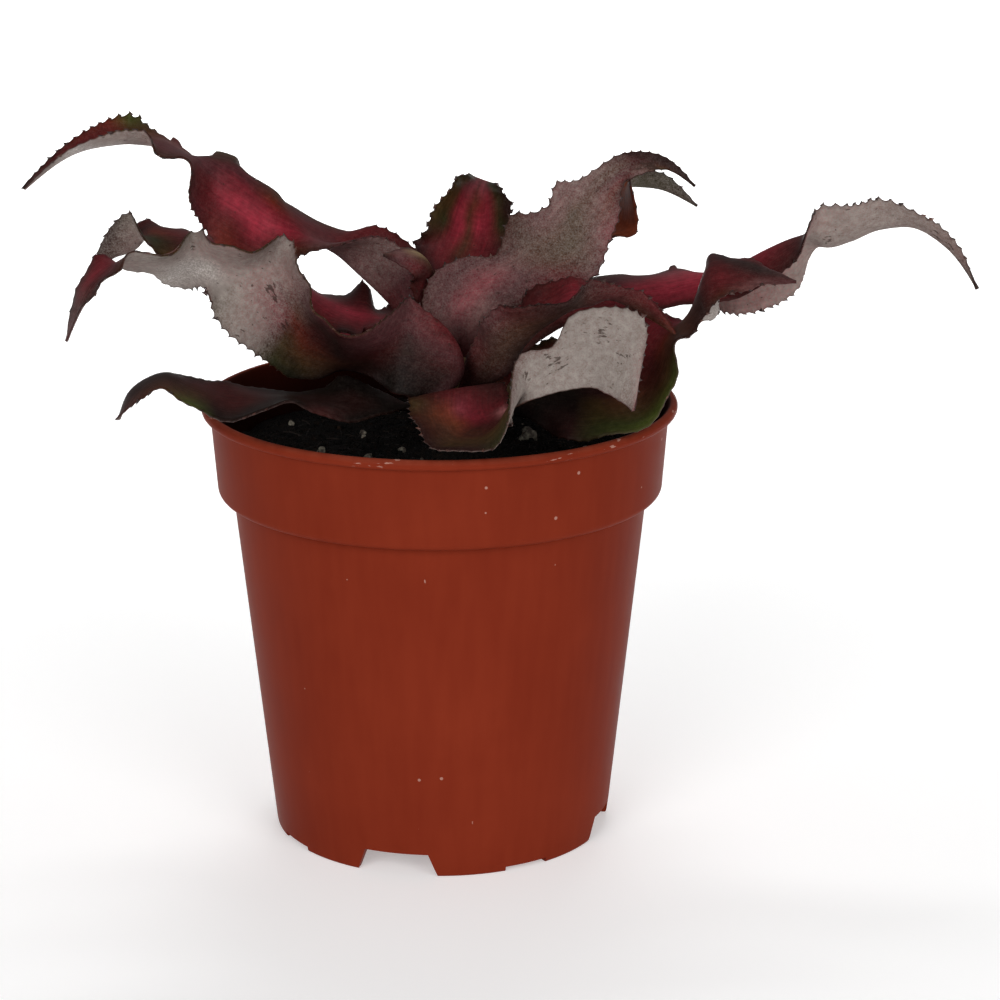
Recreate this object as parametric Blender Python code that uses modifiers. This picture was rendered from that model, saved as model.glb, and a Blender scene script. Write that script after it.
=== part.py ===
"""Earth star plant, a Cryptanthus, in a plastic nursery pot.

A rosette of stiff, wavy leaves grows from a short stem that stands in peat. The pot is a thin
injection-moulded one with a collar under its lip and notches for drainage round its foot.

Units are metres and +Z is up. The origin is on the floor, under the middle of the whole plant's
box. Leaf and pot sizes are given from the pot's axis, and the "pot_axis" empty moves them there.
"""

import math

import bmesh
import bpy
import numpy as np

MM = 0.001

# The rosette leans to one side of the pot, so the pot's axis stands off the middle of the box.
POT_AXIS = (-12.0 * MM, -6.5 * MM, 0.0)

# Pot: radii are measured outside, heights from the floor.
POT_HEIGHT = 85.3 * MM
RIM_RADIUS = 45.6 * MM
RIM_ROLL = 2.0 * MM
COLLAR_TOP_RADIUS = 44.1 * MM
COLLAR_FOOT_RADIUS = 42.7 * MM
COLLAR_FOOT_HEIGHT = 67.5 * MM
COLLAR_CORNER = 1.5 * MM
BODY_TOP_RADIUS = 39.9 * MM
BODY_FOOT_RADIUS = 32.7 * MM
WALL = 1.0 * MM
FOOT_CORNER = 0.5 * MM
FOOT_WALL = 2.2 * MM
BASE_UNDERSIDE = 5.0 * MM
BASE_THICKNESS = 1.2 * MM
TURN_STEPS = 72

# Foot: each quarter has a drainage notch with a pad on both sides of it.
NOTCHES = 4
FIRST_NOTCH_DEG = -105.5
NOTCH_TOP_WIDTH = 12.4 * MM
NOTCH_FOOT_WIDTH = 16.5 * MM
NOTCH_HEIGHT = 4.6 * MM
PAD_HEIGHT = 1.0 * MM
PAD_GAP_WIDTH = 9.0 * MM
DRAIN_RADIUS = 3.2 * MM
DRAIN_FROM_AXIS = 26.0 * MM

# Peat: it fills the pot to below the lip.
PEAT_TOP = 77.0 * MM
FIT_GAP = 0.3 * MM

# Stem: a short stump on the peat that carries the leaves in tiers.
STEM_OFFSET = 2.5 * MM
STEM_RADIUS = 5.6 * MM
STEM_FOOT_RADIUS = 5.2 * MM
STEM_TOP = 93.5 * MM
STEM_SHOULDER = 90.5 * MM
STEM_STEPS = 24

# Leaves: stiff blades of one thickness here.
LEAF_THICKNESS = 1.0 * MM
LEAF_SPACING = 3.6 * MM
LEAF_COLUMNS = 5

CRIMSON = (0.26, 0.025, 0.045)
OLIVE_RED = (0.13, 0.04, 0.025)
SILVER_PINK = (0.34, 0.24, 0.23)
TERRACOTTA = (0.30, 0.055, 0.025)
PEAT_BROWN = (0.018, 0.010, 0.007)
STEM_TAN = (0.22, 0.15, 0.08)

LEAF_COLOURS = {
    "leaf_upright_right": SILVER_PINK,
    "leaf_inner_right": SILVER_PINK,
    "leaf_long_left": SILVER_PINK,
    "leaf_right_back": OLIVE_RED,
    "leaf_low_right": OLIVE_RED,
    "leaf_low_left": OLIVE_RED,
    "leaf_heart": OLIVE_RED,
}

# Each leaf is lofted through stations from its base to its tip. A station holds three points in
# millimetres from the pot's axis at the floor: one on the midrib, one on the left margin and one
# on the right margin, as seen from the stem with the leaf's upper face up.
LEAVES = {
    "leaf_upper_left": [
        ((-4, 0.5, 89), (-4, -1, 89), (-3.5, 2.5, 89)),
        ((-6.5, 8, 98.5), (-4, 4.5, 103.5), (0, 10, 101.5)),
        ((-16, 9.5, 108.5), (-8, 9, 113), (-6.5, 13, 113)),
        ((-19.5, 11, 111.5), (-13, 5.5, 115.5), (-12, 15, 115.5)),
        ((-23.5, 12, 114), (-21.5, 3, 114), (-18, 19.5, 113.5)),
        ((-28.5, 13, 117.5), (-27.5, 4.5, 112), (-29.5, 22.5, 118.5)),
        ((-33, 13, 121.5), (-35, 10.5, 109.5), (-31.5, 23, 119.2)),
        ((-37, 13, 124.5), (-41, 10, 112.5), (-37.5, 23.5, 122.4)),
        ((-41, 13, 127), (-44.5, 10.5, 116), (-39, 23, 125.2)),
        ((-44, 13, 128.5), (-47, 6, 123), (-43.5, 22.5, 126.7)),
        ((-47, 13, 129.5), (-47, 5, 129.5), (-46.5, 21, 127.5)),
        ((-53, 12, 132), (-53.5, 5, 132), (-52.5, 19, 132.5)),
        ((-56, 12, 132.5), (-55, 6, 135.5), (-55.5, 19, 134)),
        ((-60.5, 11, 133), (-59, 5.5, 136), (-59, 16, 137)),
        ((-69, 9, 131.5), (-68.5, 5.5, 133), (-68.5, 12, 134)),
        ((-78.5, 6, 125), (-78.5, 5.5, 125), (-79, 6, 125)),
    ],
    "leaf_upright_back": [
        ((2.5, 2.5, 94.5), (0.5, 2.5, 94.5), (4.5, 2.5, 94.5)),
        ((3.5, 12, 101.5), (0.5, 12, 101.5), (6.5, 11.5, 101.5)),
        ((4, 16, 108.5), (-4.5, 15, 110), (12.5, 13.5, 109.5)),
        ((5.5, 20, 112.5), (-2.5, 16, 114.5), (14, 17.5, 113.5)),
        ((7.5, 30, 119), (3, 23.5, 122.5), (13, 23.5, 120)),
        ((8.5, 37, 120), (6, 30.5, 123), (11.5, 29.5, 121)),
        ((9.5, 46, 118), (7, 51, 117.5), (11.5, 51, 116.5)),
        ((10.5, 58, 112.5), (10.5, 58, 112.5), (11, 58, 112.5)),
    ],
    "leaf_upright_right": [
        ((4.5, -2, 94), (6.5, -2, 94), (2.5, -2, 94)),
        ((4, -4, 102), (9.5, -4, 101.5), (-3, -4, 103)),
        ((7, -2, 107), (14, -3, 104), (-1, -1.5, 109.5)),
        ((11, -1, 109.5), (17.5, -2.5, 104.5), (4.5, 0, 112.5)),
        ((15, 0, 111), (22, -1, 107), (11, 0.5, 113)),
        ((18, 1, 113), (25.5, -0.5, 107.5), (13.5, 2.5, 119.5)),
        ((22.5, 3, 114.5), (30, 1.5, 109.5), (17.5, 4, 120)),
        ((25.5, 4, 117.5), (32, 3, 114.5), (21, 5, 121.5)),
        ((28, 5, 120.5), (34, 4.5, 119.5), (22.5, 6, 125.5)),
        ((30.5, 6, 124), (34.5, 6, 124), (26.5, 6.5, 126)),
        ((37, 7, 128.5), (37.5, 6.5, 127), (35.5, 7.5, 131)),
        ((42, 8, 129), (42.5, 8, 128), (42, 8.5, 130.5)),
        ((49, 9, 124.5), (49, 9.5, 124.5), (49, 8.5, 124.5)),
    ],
    "leaf_right_back": [
        ((8, 3.5, 91), (7, 5, 91), (9, 2, 91)),
        ((13, 13, 102), (9, 16, 102.5), (16, 9, 102.5)),
        ((23.5, 19, 107.5), (20.5, 26, 110), (27.5, 12, 107)),
        ((32, 19, 113.5), (30, 27.5, 115.5), (33.5, 10, 114)),
        ((34, 19, 117), (31.5, 27, 118), (37.5, 11.5, 115)),
        ((36, 19, 122.5), (34, 25, 126), (37, 12, 125.5)),
        ((39.5, 18, 123), (41, 23.5, 124), (38.5, 13.5, 127)),
        ((43.5, 17, 122.5), (45, 21, 123), (43.5, 14.5, 125.5)),
        ((50, 15, 119.5), (50, 15.5, 119.5), (50, 14.5, 119.5)),
    ],
    "leaf_long_right": [
        ((9, 0, 87.5), (9, 2, 87.5), (9, -2, 87.5)),
        ((19, 6, 100.5), (17, 12, 99.5), (22.5, 1, 98.5)),
        ((30.5, 10, 103.5), (31, 19, 104.5), (30, 2, 100)),
        ((40.5, 11, 105), (41.5, 20.5, 104.5), (40.5, 2, 102)),
        ((48.5, 12, 106), (49, 22, 105), (47.5, 2.5, 103)),
        ((54.5, 12, 107), (54, 19, 99), (53.5, 2, 103.5)),
        ((59, 12, 108.5), (58.5, 14, 98.5), (58, 2.5, 104.5)),
        ((67.5, 12, 112.5), (69.5, 14, 103), (66, 2.5, 110)),
        ((70.5, 12, 113.5), (71.5, 17.5, 106), (69, 2.5, 113.5)),
        ((72, 12, 113.5), (72.5, 19.5, 108.5), (70.5, 4, 117.5)),
        ((75, 12, 112.5), (76, 21, 112.5), (72.5, 7.5, 120)),
        ((79.5, 11, 114), (80.5, 19.5, 114), (78.5, 5.5, 121)),
        ((85, 11, 116), (85.5, 18.5, 116), (84, 6, 122)),
        ((91, 10, 116.5), (92.5, 16, 116.5), (90.5, 5.5, 120)),
        ((97.5, 8, 113), (99, 11.5, 113), (98, 5, 115)),
        ((103.5, 5, 105), (103.5, 5.5, 105), (103, 4.5, 105)),
    ],
    "leaf_low_right": [
        ((8, -3, 82.5), (9, -1.5, 82.5), (7, -5, 82.5)),
        ((15.5, -15, 90), (16, -8.5, 92.5), (16.5, -20.5, 86.5)),
        ((23.5, -22, 91), (22.5, -13, 94.5), (23, -29.5, 85)),
        ((30.5, -24, 91.5), (29, -16, 98), (31, -33, 86.5)),
        ((37, -23, 93.5), (34, -15, 101.5), (39, -32, 89.5)),
        ((40, -21, 97.5), (37.5, -11, 104), (42.5, -30, 95.5)),
        ((42, -19, 101), (42.5, -11, 103.5), (43, -28, 102)),
        ((46.5, -16, 105), (51.5, -9, 102.5), (47, -25, 104.5)),
        ((50.5, -15, 113), (51, -6, 114), (50, -23, 109)),
        ((55, -16, 113.5), (55.5, -9.5, 114.5), (55, -22, 111)),
        ((65.5, -20, 112), (65.5, -19.5, 112), (65.5, -20.5, 112)),
    ],
    "leaf_front": [
        ((2.5, -6.5, 82.5), (4.5, -6.5, 82.5), (0, -6.5, 82.5)),
        ((2.5, -15, 86), (7.5, -15, 87), (-2, -15, 86)),
        ((3.5, -23, 92.5), (11.5, -24.5, 94), (-5, -23.5, 91.5)),
        ((3.5, -32, 90), (12, -34, 93), (-4.5, -36, 90.5)),
        ((6, -40, 89), (12, -45.5, 93), (0, -46.5, 88)),
        ((9.5, -44, 90.5), (12.5, -51.5, 93.5), (6.5, -51.5, 89)),
        ((12, -46, 94.5), (13, -38.5, 92), (11, -53.5, 91.5)),
        ((14, -46, 97.5), (14, -46.5, 96), (12, -53.5, 98)),
        ((16.5, -46, 101), (17.5, -47, 97.5), (14, -45, 104)),
        ((21, -45, 103.5), (21.5, -46.5, 98.5), (20, -44.5, 106)),
        ((25, -44, 105.5), (26, -46, 99), (23.5, -42.5, 111)),
        ((33, -40, 102.5), (31, -41.5, 96), (36, -38.5, 109.5)),
        ((35, -37, 95), (34, -37.5, 93), (35.5, -37, 96)),
        ((34.5, -36, 92), (34.5, -36, 92), (35, -36, 92)),
    ],
    "leaf_inner_right": [
        ((5.5, -5.5, 88.5), (7.5, -4.5, 88.5), (3.5, -6.5, 88.5)),
        ((11.5, -13, 93.5), (14.5, -6, 96.5), (6.5, -12.5, 99.5)),
        ((14, -15, 98), (16, -6.5, 100.5), (8.5, -17.5, 104.5)),
        ((17.5, -17, 102), (15.5, -9.5, 106.5), (12, -21.5, 108)),
        ((21, -18, 105), (19.5, -10.5, 109.5), (17, -25.5, 108.5)),
        ((24.5, -19, 107.5), (24.5, -12, 111), (23, -26.5, 110)),
        ((27.5, -20, 108), (28.5, -12.5, 109.5), (27, -25.5, 113.5)),
        ((31, -20, 109), (32, -13, 110), (31.5, -26, 112.5)),
        ((35.5, -21, 107.5), (38, -16, 108.5), (36, -24.5, 111.5)),
        ((43, -27, 104), (43, -27, 104), (43, -27, 104)),
    ],
    "leaf_long_left": [
        ((-1, -5.5, 88.5), (1, -6.5, 88.5), (-3, -4.5, 88.5)),
        ((3.5, -16, 95), (2.5, -14.5, 101), (0.5, -17.5, 90.5)),
        ((-2, -17, 97), (-2.5, -15, 105.5), (-4.5, -18.5, 90.5)),
        ((-6.5, -17, 98.5), (-6, -15, 108), (-9, -19, 91.5)),
        ((-12, -17, 98.5), (-11, -24.5, 105), (-13.5, -9, 92.5)),
        ((-18, -17, 98.5), (-17.5, -25.5, 104), (-19.5, -9, 92.5)),
        ((-23.5, -17, 101.5), (-22, -25.5, 107.5), (-27, -13, 92.5)),
        ((-28.5, -19, 107.5), (-25, -25, 115.5), (-32.5, -21.5, 99)),
        ((-33, -21, 112.5), (-28.5, -19, 120.5), (-38.5, -23.5, 104)),
        ((-37.5, -22, 115), (-34, -29, 120), (-41.5, -23.5, 109)),
        ((-42, -23, 117.5), (-40, -30.5, 122), (-42.5, -24, 112.5)),
        ((-45, -24, 118.5), (-43.5, -23, 122.5), (-45.5, -18.5, 111.5)),
        ((-48.5, -25, 117.5), (-47, -32, 121), (-50, -19.5, 112)),
        ((-53, -26, 117.5), (-52, -33, 120.5), (-53.5, -19.5, 114.5)),
        ((-57, -26, 117.5), (-55.5, -32.5, 120), (-58.5, -19.5, 115.5)),
        ((-60, -26, 116), (-57.5, -32, 117.5), (-62.5, -20, 117.5)),
        ((-63.3, -26, 113), (-61.2, -29.5, 113.5), (-65.3, -21.5, 112.2)),
        ((-65.8, -25, 108), (-64.8, -27, 109), (-67, -22.5, 108.5)),
        ((-68, -24, 102.5), (-68, -24.5, 102.5), (-68, -23.5, 102.5)),
    ],
    "leaf_middle_left": [
        ((-1.5, 5, 88), (-3, 4, 88), (0, 6, 88)),
        ((-8, 14, 96.5), (-13.5, 9, 96.5), (-9, 21, 98.5)),
        ((-12.5, 18, 96.5), (-18, 11, 96.5), (-13.5, 27, 97)),
        ((-15, 20, 96.5), (-16, 11, 95), (-15, 27.5, 101.5)),
        ((-19, 22, 97), (-19.5, 13, 95), (-19, 31.5, 98.5)),
        ((-23, 24, 98.5), (-23.5, 14.5, 95), (-23.5, 34, 97.5)),
        ((-35, 27, 106.5), (-36.5, 17, 106.5), (-35, 37, 106)),
        ((-42, 28, 109), (-42.5, 18.5, 109), (-42.5, 37.5, 108)),
        ((-54.5, 28, 111.5), (-55, 20, 109.5), (-55, 36.5, 111.5)),
        ((-57.5, 28, 111.5), (-57.5, 20, 112), (-58.5, 35.5, 113)),
        ((-60, 27, 109.5), (-60, 25.5, 116), (-62.5, 33.5, 109.5)),
        ((-64, 26, 108), (-64.5, 27, 113.5), (-65, 31.5, 108)),
        ((-68.5, 25, 105.5), (-68.5, 24.5, 105.5), (-68.5, 25.5, 105.5)),
    ],
    "leaf_low_left": [
        ((-3, -3, 82.5), (-2, -5, 82.5), (-4, -1, 82.5)),
        ((-8, -19, 89), (-8, -24, 89), (-8, -14.5, 88.5)),
        ((-16, -25, 91), (-16, -34.5, 90), (-18, -16, 93.5)),
        ((-21.5, -28, 92), (-22, -37.5, 92), (-22, -18.5, 91.5)),
        ((-26, -30, 93), (-26, -39.5, 95), (-26.5, -20.5, 91.5)),
        ((-38, -36, 94), (-37.5, -45.5, 93), (-38.5, -26.5, 95)),
        ((-44, -38, 96.5), (-43.5, -46.5, 96), (-44, -29.5, 96.5)),
        ((-49.5, -39, 99), (-49, -46, 99), (-50, -32, 98.5)),
        ((-54, -39, 97), (-52.5, -44, 97), (-55, -34, 96)),
        ((-57.5, -38, 91.5), (-58, -38.5, 91.5), (-57.5, -37.5, 91.5)),
    ],
    "leaf_heart": [
        ((-0.5, -1, 94.5), (0, -3, 94.5), (-1, 1, 94.5)),
        ((0, 3.5, 102.5), (-3, 0.5, 99.5), (4.5, 5, 102.5)),
        ((-1, 2.5, 108), (-5, -2, 107), (-5.5, 6.5, 109)),
        ((-3, -1, 112), (-5, -4.5, 110.5), (-5, 2.5, 113.5)),
        ((-10.5, -4, 114), (-10.5, -4.5, 114), (-10.5, -3.5, 114)),
    ],
    "leaf_rear_left": [
        ((-2.5, 4, 82.5), (-4, 2.5, 82.5), (-1, 6, 82.5)),
        ((-9, 14, 87), (-12, 11, 88.5), (-5.5, 16, 88.5)),
        ((-17, 24, 89.5), (-23, 19, 93), (-10, 29, 89.5)),
        ((-24, 34, 89.5), (-31, 29.5, 88), (-18, 38.5, 93.5)),
        ((-30, 44, 86), (-35, 42.5, 88.5), (-24.5, 46.5, 84.5)),
        ((-35, 53, 79), (-35.5, 53, 79), (-35, 53, 79)),
    ],
    "leaf_rear_low": [
        ((2.5, 6.5, 82.5), (0, 6.5, 82.5), (4.5, 6.5, 82.5)),
        ((2, 17, 87.5), (-2, 16.5, 89), (6, 16.5, 89)),
        ((3, 31, 91), (-6.5, 32.5, 91), (11.5, 29.5, 95)),
        ((6, 45, 90), (-1.5, 47.5, 94.5), (14.5, 43, 87.5)),
        ((8, 57, 85), (2, 57, 84), (13.5, 57.5, 87)),
        ((9, 67, 76), (8.5, 67, 76), (9.5, 67, 76)),
    ],
    "leaf_rear_right": [
        ((5.5, 5.5, 89), (3.5, 6.5, 89), (7.5, 4.5, 89)),
        ((10, 18, 94), (4, 20, 96), (15.5, 15, 96)),
        ((16, 30, 97), (8, 33.5, 100), (24, 26.5, 96)),
        ((21, 42, 96), (13.5, 45, 94), (28, 40, 100)),
        ((26, 52, 91), (21.5, 55.5, 93), (31.5, 49.5, 91)),
        ((30, 61, 82), (29.5, 61, 82), (30.5, 61, 82)),
    ],
    "leaf_rear_side": [
        ((8, 3, 82.5), (7, 5, 82.5), (9, 1.5, 82.5)),
        ((16, 10, 86), (12, 14.5, 87.5), (19.5, 5.5, 87.5)),
        ((25, 17, 88), (20, 22.5, 90.5), (30, 11, 89.5)),
        ((33, 24, 88.5), (28.5, 29, 89.5), (38, 19.5, 91)),
        ((39, 31, 85), (36, 34, 86.5), (42.5, 28.5, 85)),
        ((42, 37, 79), (41.5, 37, 79), (42.5, 37, 79)),
    ],
}


def clear_scene():
    for existing in list(bpy.data.objects):
        bpy.data.objects.remove(existing)


def collection_named(name):
    made = bpy.data.collections.new(name)
    bpy.context.scene.collection.children.link(made)
    return made


def finish_material(name, colour, roughness):
    material = bpy.data.materials.new(name)
    material.use_nodes = True
    shader = material.node_tree.nodes["Principled BSDF"]
    shader.inputs["Base Color"].default_value = (*colour, 1.0)
    shader.inputs["Roughness"].default_value = roughness
    shader.inputs["Metallic"].default_value = 0.0
    material.diffuse_color = (*colour, 1.0)
    return material


def new_object(name, mesh, collection, axis, material):
    made = bpy.data.objects.new(name, mesh)
    collection.objects.link(made)
    made.parent = axis
    mesh.materials.append(material)
    return made


def arc(centre, radius, start_deg, end_deg, count):
    """Points (x, z) on an arc, from the start angle to the end angle."""
    angles = np.radians(np.linspace(start_deg, end_deg, count))
    return [(centre[0] + radius * math.cos(a), centre[1] + radius * math.sin(a)) for a in angles]


def turned(name, profile, steps, collection, axis, material):
    """A solid turned about Z from (x, z) points that run down its outer side."""
    mesh = bpy.data.meshes.new(name)
    edges = [(i, i + 1) for i in range(len(profile) - 1)]
    mesh.from_pydata([(x, 0.0, z) for x, z in profile], edges, [])
    made = new_object(name, mesh, collection, axis, material)
    screw = made.modifiers.new("turn", "SCREW")
    screw.axis = "Z"
    screw.steps = steps
    screw.render_steps = steps
    screw.use_merge_vertices = True
    screw.merge_threshold = 0.01 * MM
    screw.use_smooth_shade = True
    return made


def collar_radius(height):
    """Outer radius of the collar's straight wall."""
    along = (height - COLLAR_FOOT_HEIGHT) / (POT_HEIGHT - COLLAR_FOOT_HEIGHT)
    return COLLAR_FOOT_RADIUS + along * (COLLAR_TOP_RADIUS - COLLAR_FOOT_RADIUS)


def body_radius(height):
    """Outer radius of the tapered body."""
    along = height / COLLAR_FOOT_HEIGHT
    return BODY_FOOT_RADIUS + along * (BODY_TOP_RADIUS - BODY_FOOT_RADIUS)


def pot_profile():
    """From the axis on the inner floor, out and up the inside, over the lip, down the outside and
    back to the axis under the base."""
    floor = BASE_UNDERSIDE + BASE_THICKNESS
    shoulder = COLLAR_FOOT_HEIGHT + WALL
    half_roll = RIM_ROLL / 2
    roll_centre = (RIM_RADIUS - half_roll, POT_HEIGHT - half_roll)
    inner_top = RIM_RADIUS - RIM_ROLL
    corner_centre = (
        collar_radius(COLLAR_FOOT_HEIGHT + COLLAR_CORNER) - COLLAR_CORNER,
        COLLAR_FOOT_HEIGHT + COLLAR_CORNER,
    )
    foot_inside = BODY_FOOT_RADIUS - FOOT_WALL
    foot_centre = (BODY_FOOT_RADIUS - FOOT_CORNER, FOOT_CORNER)
    inside = [
        (0.0, floor),
        (body_radius(floor) - WALL, floor),
        (body_radius(COLLAR_FOOT_HEIGHT) - WALL, COLLAR_FOOT_HEIGHT),
        (body_radius(shoulder) - WALL + FOOT_CORNER, shoulder),
        (collar_radius(shoulder) - WALL - FOOT_CORNER, shoulder),
        (collar_radius(shoulder) - WALL, shoulder + FOOT_CORNER),
        (collar_radius(POT_HEIGHT - RIM_ROLL) - WALL, POT_HEIGHT - RIM_ROLL),
        (inner_top + 0.1 * MM, POT_HEIGHT - half_roll),
    ]
    lip = arc(roll_centre, half_roll, 150, -60, 9)
    under_lip = [(collar_radius(POT_HEIGHT - RIM_ROLL), POT_HEIGHT - RIM_ROLL - 0.2 * MM)]
    corner = arc(corner_centre, COLLAR_CORNER, 0, -80, 5)
    outside = [(body_radius(COLLAR_FOOT_HEIGHT), COLLAR_FOOT_HEIGHT)]
    foot = arc(foot_centre, FOOT_CORNER, 0, -90, 3)
    under = [(foot_inside, 0.0), (foot_inside - FOOT_CORNER, BASE_UNDERSIDE), (0.0, BASE_UNDERSIDE)]
    return inside + lip + under_lip + corner + outside + foot + under


def cutter(name, add, collection, axis):
    """Takes the primitive that was just added as a cutter, hidden from renders."""
    add()
    made = bpy.context.active_object
    made.name = name
    for owner in list(made.users_collection):
        owner.objects.unlink(made)
    collection.objects.link(made)
    made.parent = axis
    made.display_type = "WIRE"
    made.hide_render = True
    return made


def cut(target, tool):
    boolean = target.modifiers.new("cut " + tool.name, "BOOLEAN")
    boolean.operation = "DIFFERENCE"
    boolean.solver = "EXACT"
    boolean.object = tool


def on_ring(radius, degrees, height):
    angle = math.radians(degrees)
    return (radius * math.cos(angle), radius * math.sin(angle), height)


def wedge(radial, foot_width, top_width, height):
    """A block whose top is narrower than its foot, centred on its own origin's ring."""
    mesh = bpy.context.active_object.data
    for vertex in mesh.vertices:
        width = top_width if vertex.co.z > 0 else foot_width
        vertex.co.x *= radial
        vertex.co.y *= width
        vertex.co.z *= height


def foot_cutters(cutters, axis):
    """Notches, gaps between the pads and drain holes, one of each for every quarter."""
    made = []
    ring = BODY_FOOT_RADIUS - FOOT_WALL / 2
    radial = 4 * FOOT_WALL
    spare = 1.0 * MM
    for i in range(NOTCHES):
        turn = FIRST_NOTCH_DEG + i * 360 / NOTCHES

        def block():
            bpy.ops.mesh.primitive_cube_add(size=1.0)

        height = NOTCH_HEIGHT + spare
        notch = cutter(f"notch_{i}", block, cutters, axis)
        wedge(radial, NOTCH_FOOT_WIDTH, NOTCH_TOP_WIDTH, height)
        notch.location = on_ring(ring, turn, height / 2 - spare)
        notch.rotation_euler = (0, 0, math.radians(turn))
        made.append(notch)

        height = PAD_HEIGHT + spare
        gap = cutter(f"pad_gap_{i}", block, cutters, axis)
        wedge(radial, PAD_GAP_WIDTH, PAD_GAP_WIDTH, height)
        half_way = turn + 180 / NOTCHES
        gap.location = on_ring(ring, half_way, height / 2 - spare)
        gap.rotation_euler = (0, 0, math.radians(half_way))
        made.append(gap)

        def rod():
            bpy.ops.mesh.primitive_cylinder_add(
                vertices=16, radius=DRAIN_RADIUS, depth=4 * BASE_THICKNESS
            )

        drain = cutter(f"drain_{i}", rod, cutters, axis)
        drain.location = on_ring(DRAIN_FROM_AXIS, turn, BASE_UNDERSIDE + BASE_THICKNESS / 2)
        made.append(drain)
    return made


def make_pot(collection, cutters, axis):
    plastic = finish_material("terracotta_plastic", TERRACOTTA, 0.45)
    pot = turned("pot", pot_profile(), TURN_STEPS, collection, axis, plastic)
    for tool in foot_cutters(cutters, axis):
        cut(pot, tool)


def make_peat(collection, axis):
    """The peat takes the shape of the pot's inside, a fit gap away from it."""
    clear = WALL + FIT_GAP
    floor = BASE_UNDERSIDE + BASE_THICKNESS + FIT_GAP
    shoulder = COLLAR_FOOT_HEIGHT + WALL + FIT_GAP
    edge = 1.5 * MM
    profile = [
        (0.0, PEAT_TOP),
        (collar_radius(PEAT_TOP - edge) - clear - edge, PEAT_TOP),
        (collar_radius(PEAT_TOP - edge) - clear, PEAT_TOP - edge),
        (collar_radius(shoulder) - clear - FOOT_CORNER, shoulder + FOOT_CORNER),
        (body_radius(COLLAR_FOOT_HEIGHT) - clear, shoulder),
        (body_radius(floor) - clear, floor),
        (0.0, floor),
    ]
    peat = finish_material("peat", PEAT_BROWN, 0.95)
    turned("peat", profile, TURN_STEPS, collection, axis, peat)


def make_stem(collection, axis):
    profile = [
        (0.0, STEM_TOP),
        (STEM_RADIUS * 0.85, STEM_TOP),
        (STEM_RADIUS, STEM_SHOULDER),
        (STEM_RADIUS, PEAT_TOP + 4.5 * MM),
        (STEM_FOOT_RADIUS, PEAT_TOP + FIT_GAP),
        (0.0, PEAT_TOP + FIT_GAP),
    ]
    bark = finish_material("stem_bark", STEM_TAN, 0.8)
    stem = turned("stem", profile, STEM_STEPS, collection, axis, bark)
    stem.location = (STEM_OFFSET, 0.0, 0.0)


def through(knots, values, wanted):
    """Smooth curve through the values at the knots, read at the wanted places. It is a cubic
    Hermite spline whose slopes are those of a parabola through each three neighbours."""
    steps = np.diff(knots)
    rises = np.diff(values, axis=0) / steps[:, None]
    slopes = np.empty_like(values)
    before = steps[:-1, None]
    after = steps[1:, None]
    slopes[1:-1] = (rises[:-1] * after + rises[1:] * before) / (before + after)
    slopes[0] = 1.5 * rises[0] - 0.5 * slopes[1]
    slopes[-1] = 1.5 * rises[-1] - 0.5 * slopes[-2]
    span = np.clip(np.searchsorted(knots, wanted, side="right") - 1, 0, len(steps) - 1)
    step = steps[span][:, None]
    part = (wanted - knots[span])[:, None] / step
    rest = 1 - part
    start = values[span] * (1 + 2 * part) + slopes[span] * step * part
    end = values[span + 1] * (3 - 2 * part) - slopes[span + 1] * step * rest
    return start * rest**2 + end * part**2


def leaf_grid(stations, spacing, columns):
    """Points [row, column, xyz] on a leaf's middle surface, evenly spaced along its midrib. Across
    the leaf, a parabola runs from margin to margin through the midrib."""
    guides = np.array(stations, float) * MM
    midrib = guides[:, 0]
    steps = np.linalg.norm(np.diff(midrib, axis=0), axis=1)
    knots = np.concatenate([[0.0], np.cumsum(steps**0.75)])
    fine = np.linspace(0.0, knots[-1], 400)
    path = through(knots, midrib, fine)
    length = np.concatenate([[0.0], np.cumsum(np.linalg.norm(np.diff(path, axis=0), axis=1))])
    rows = max(8, round(length[-1] / spacing))
    wanted = np.interp(np.linspace(0.0, length[-1], rows), length, fine)
    lines = through(knots, guides.reshape(len(guides), 9), wanted).reshape(rows, 3, 3)
    middle, left, right = (lines[:, None, k] for k in range(3))
    across = np.linspace(-1.0, 1.0, columns)[None, :, None]
    return (
        left * across * (across - 1) / 2
        + middle * (1 - across**2)
        + right * across * (across + 1) / 2
    )


def make_leaf(name, stations, collection, axis):
    grid = leaf_grid(stations, LEAF_SPACING, LEAF_COLUMNS)
    rows, columns, _ = grid.shape
    mesh = bpy.data.meshes.new(name)
    built = bmesh.new()
    points = [[built.verts.new(point) for point in row] for row in grid]
    for i in range(rows - 1):
        for j in range(columns - 1):
            corners = (points[i][j], points[i][j + 1], points[i + 1][j + 1], points[i + 1][j])
            built.faces.new(corners)
    built.to_mesh(mesh)
    built.free()
    mesh.shade_smooth()
    colour = LEAF_COLOURS.get(name, CRIMSON)
    leaf = new_object(name, mesh, collection, axis, finish_material(name, colour, 0.5))
    solidify = leaf.modifiers.new("thickness", "SOLIDIFY")
    solidify.thickness = LEAF_THICKNESS
    solidify.offset = 0.0
    solidify.use_even_offset = False


def make_plant():
    clear_scene()
    collection = collection_named("earth_star_plant")
    cutters = collection_named("cutters")
    axis = bpy.data.objects.new("pot_axis", None)
    collection.objects.link(axis)
    axis.location = POT_AXIS
    make_pot(collection, cutters, axis)
    make_peat(collection, axis)
    make_stem(collection, axis)
    for name, stations in LEAVES.items():
        make_leaf(name, stations, collection, axis)


make_plant()
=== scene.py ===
"""Looks of an earth star plant, a young Cryptanthus, in a thin plastic nursery pot.

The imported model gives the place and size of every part. This script puts a finished piece round
each of them: the moulded pot, the peat with its perlite, the stem and the sixteen leaves.
"""

import math

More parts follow.
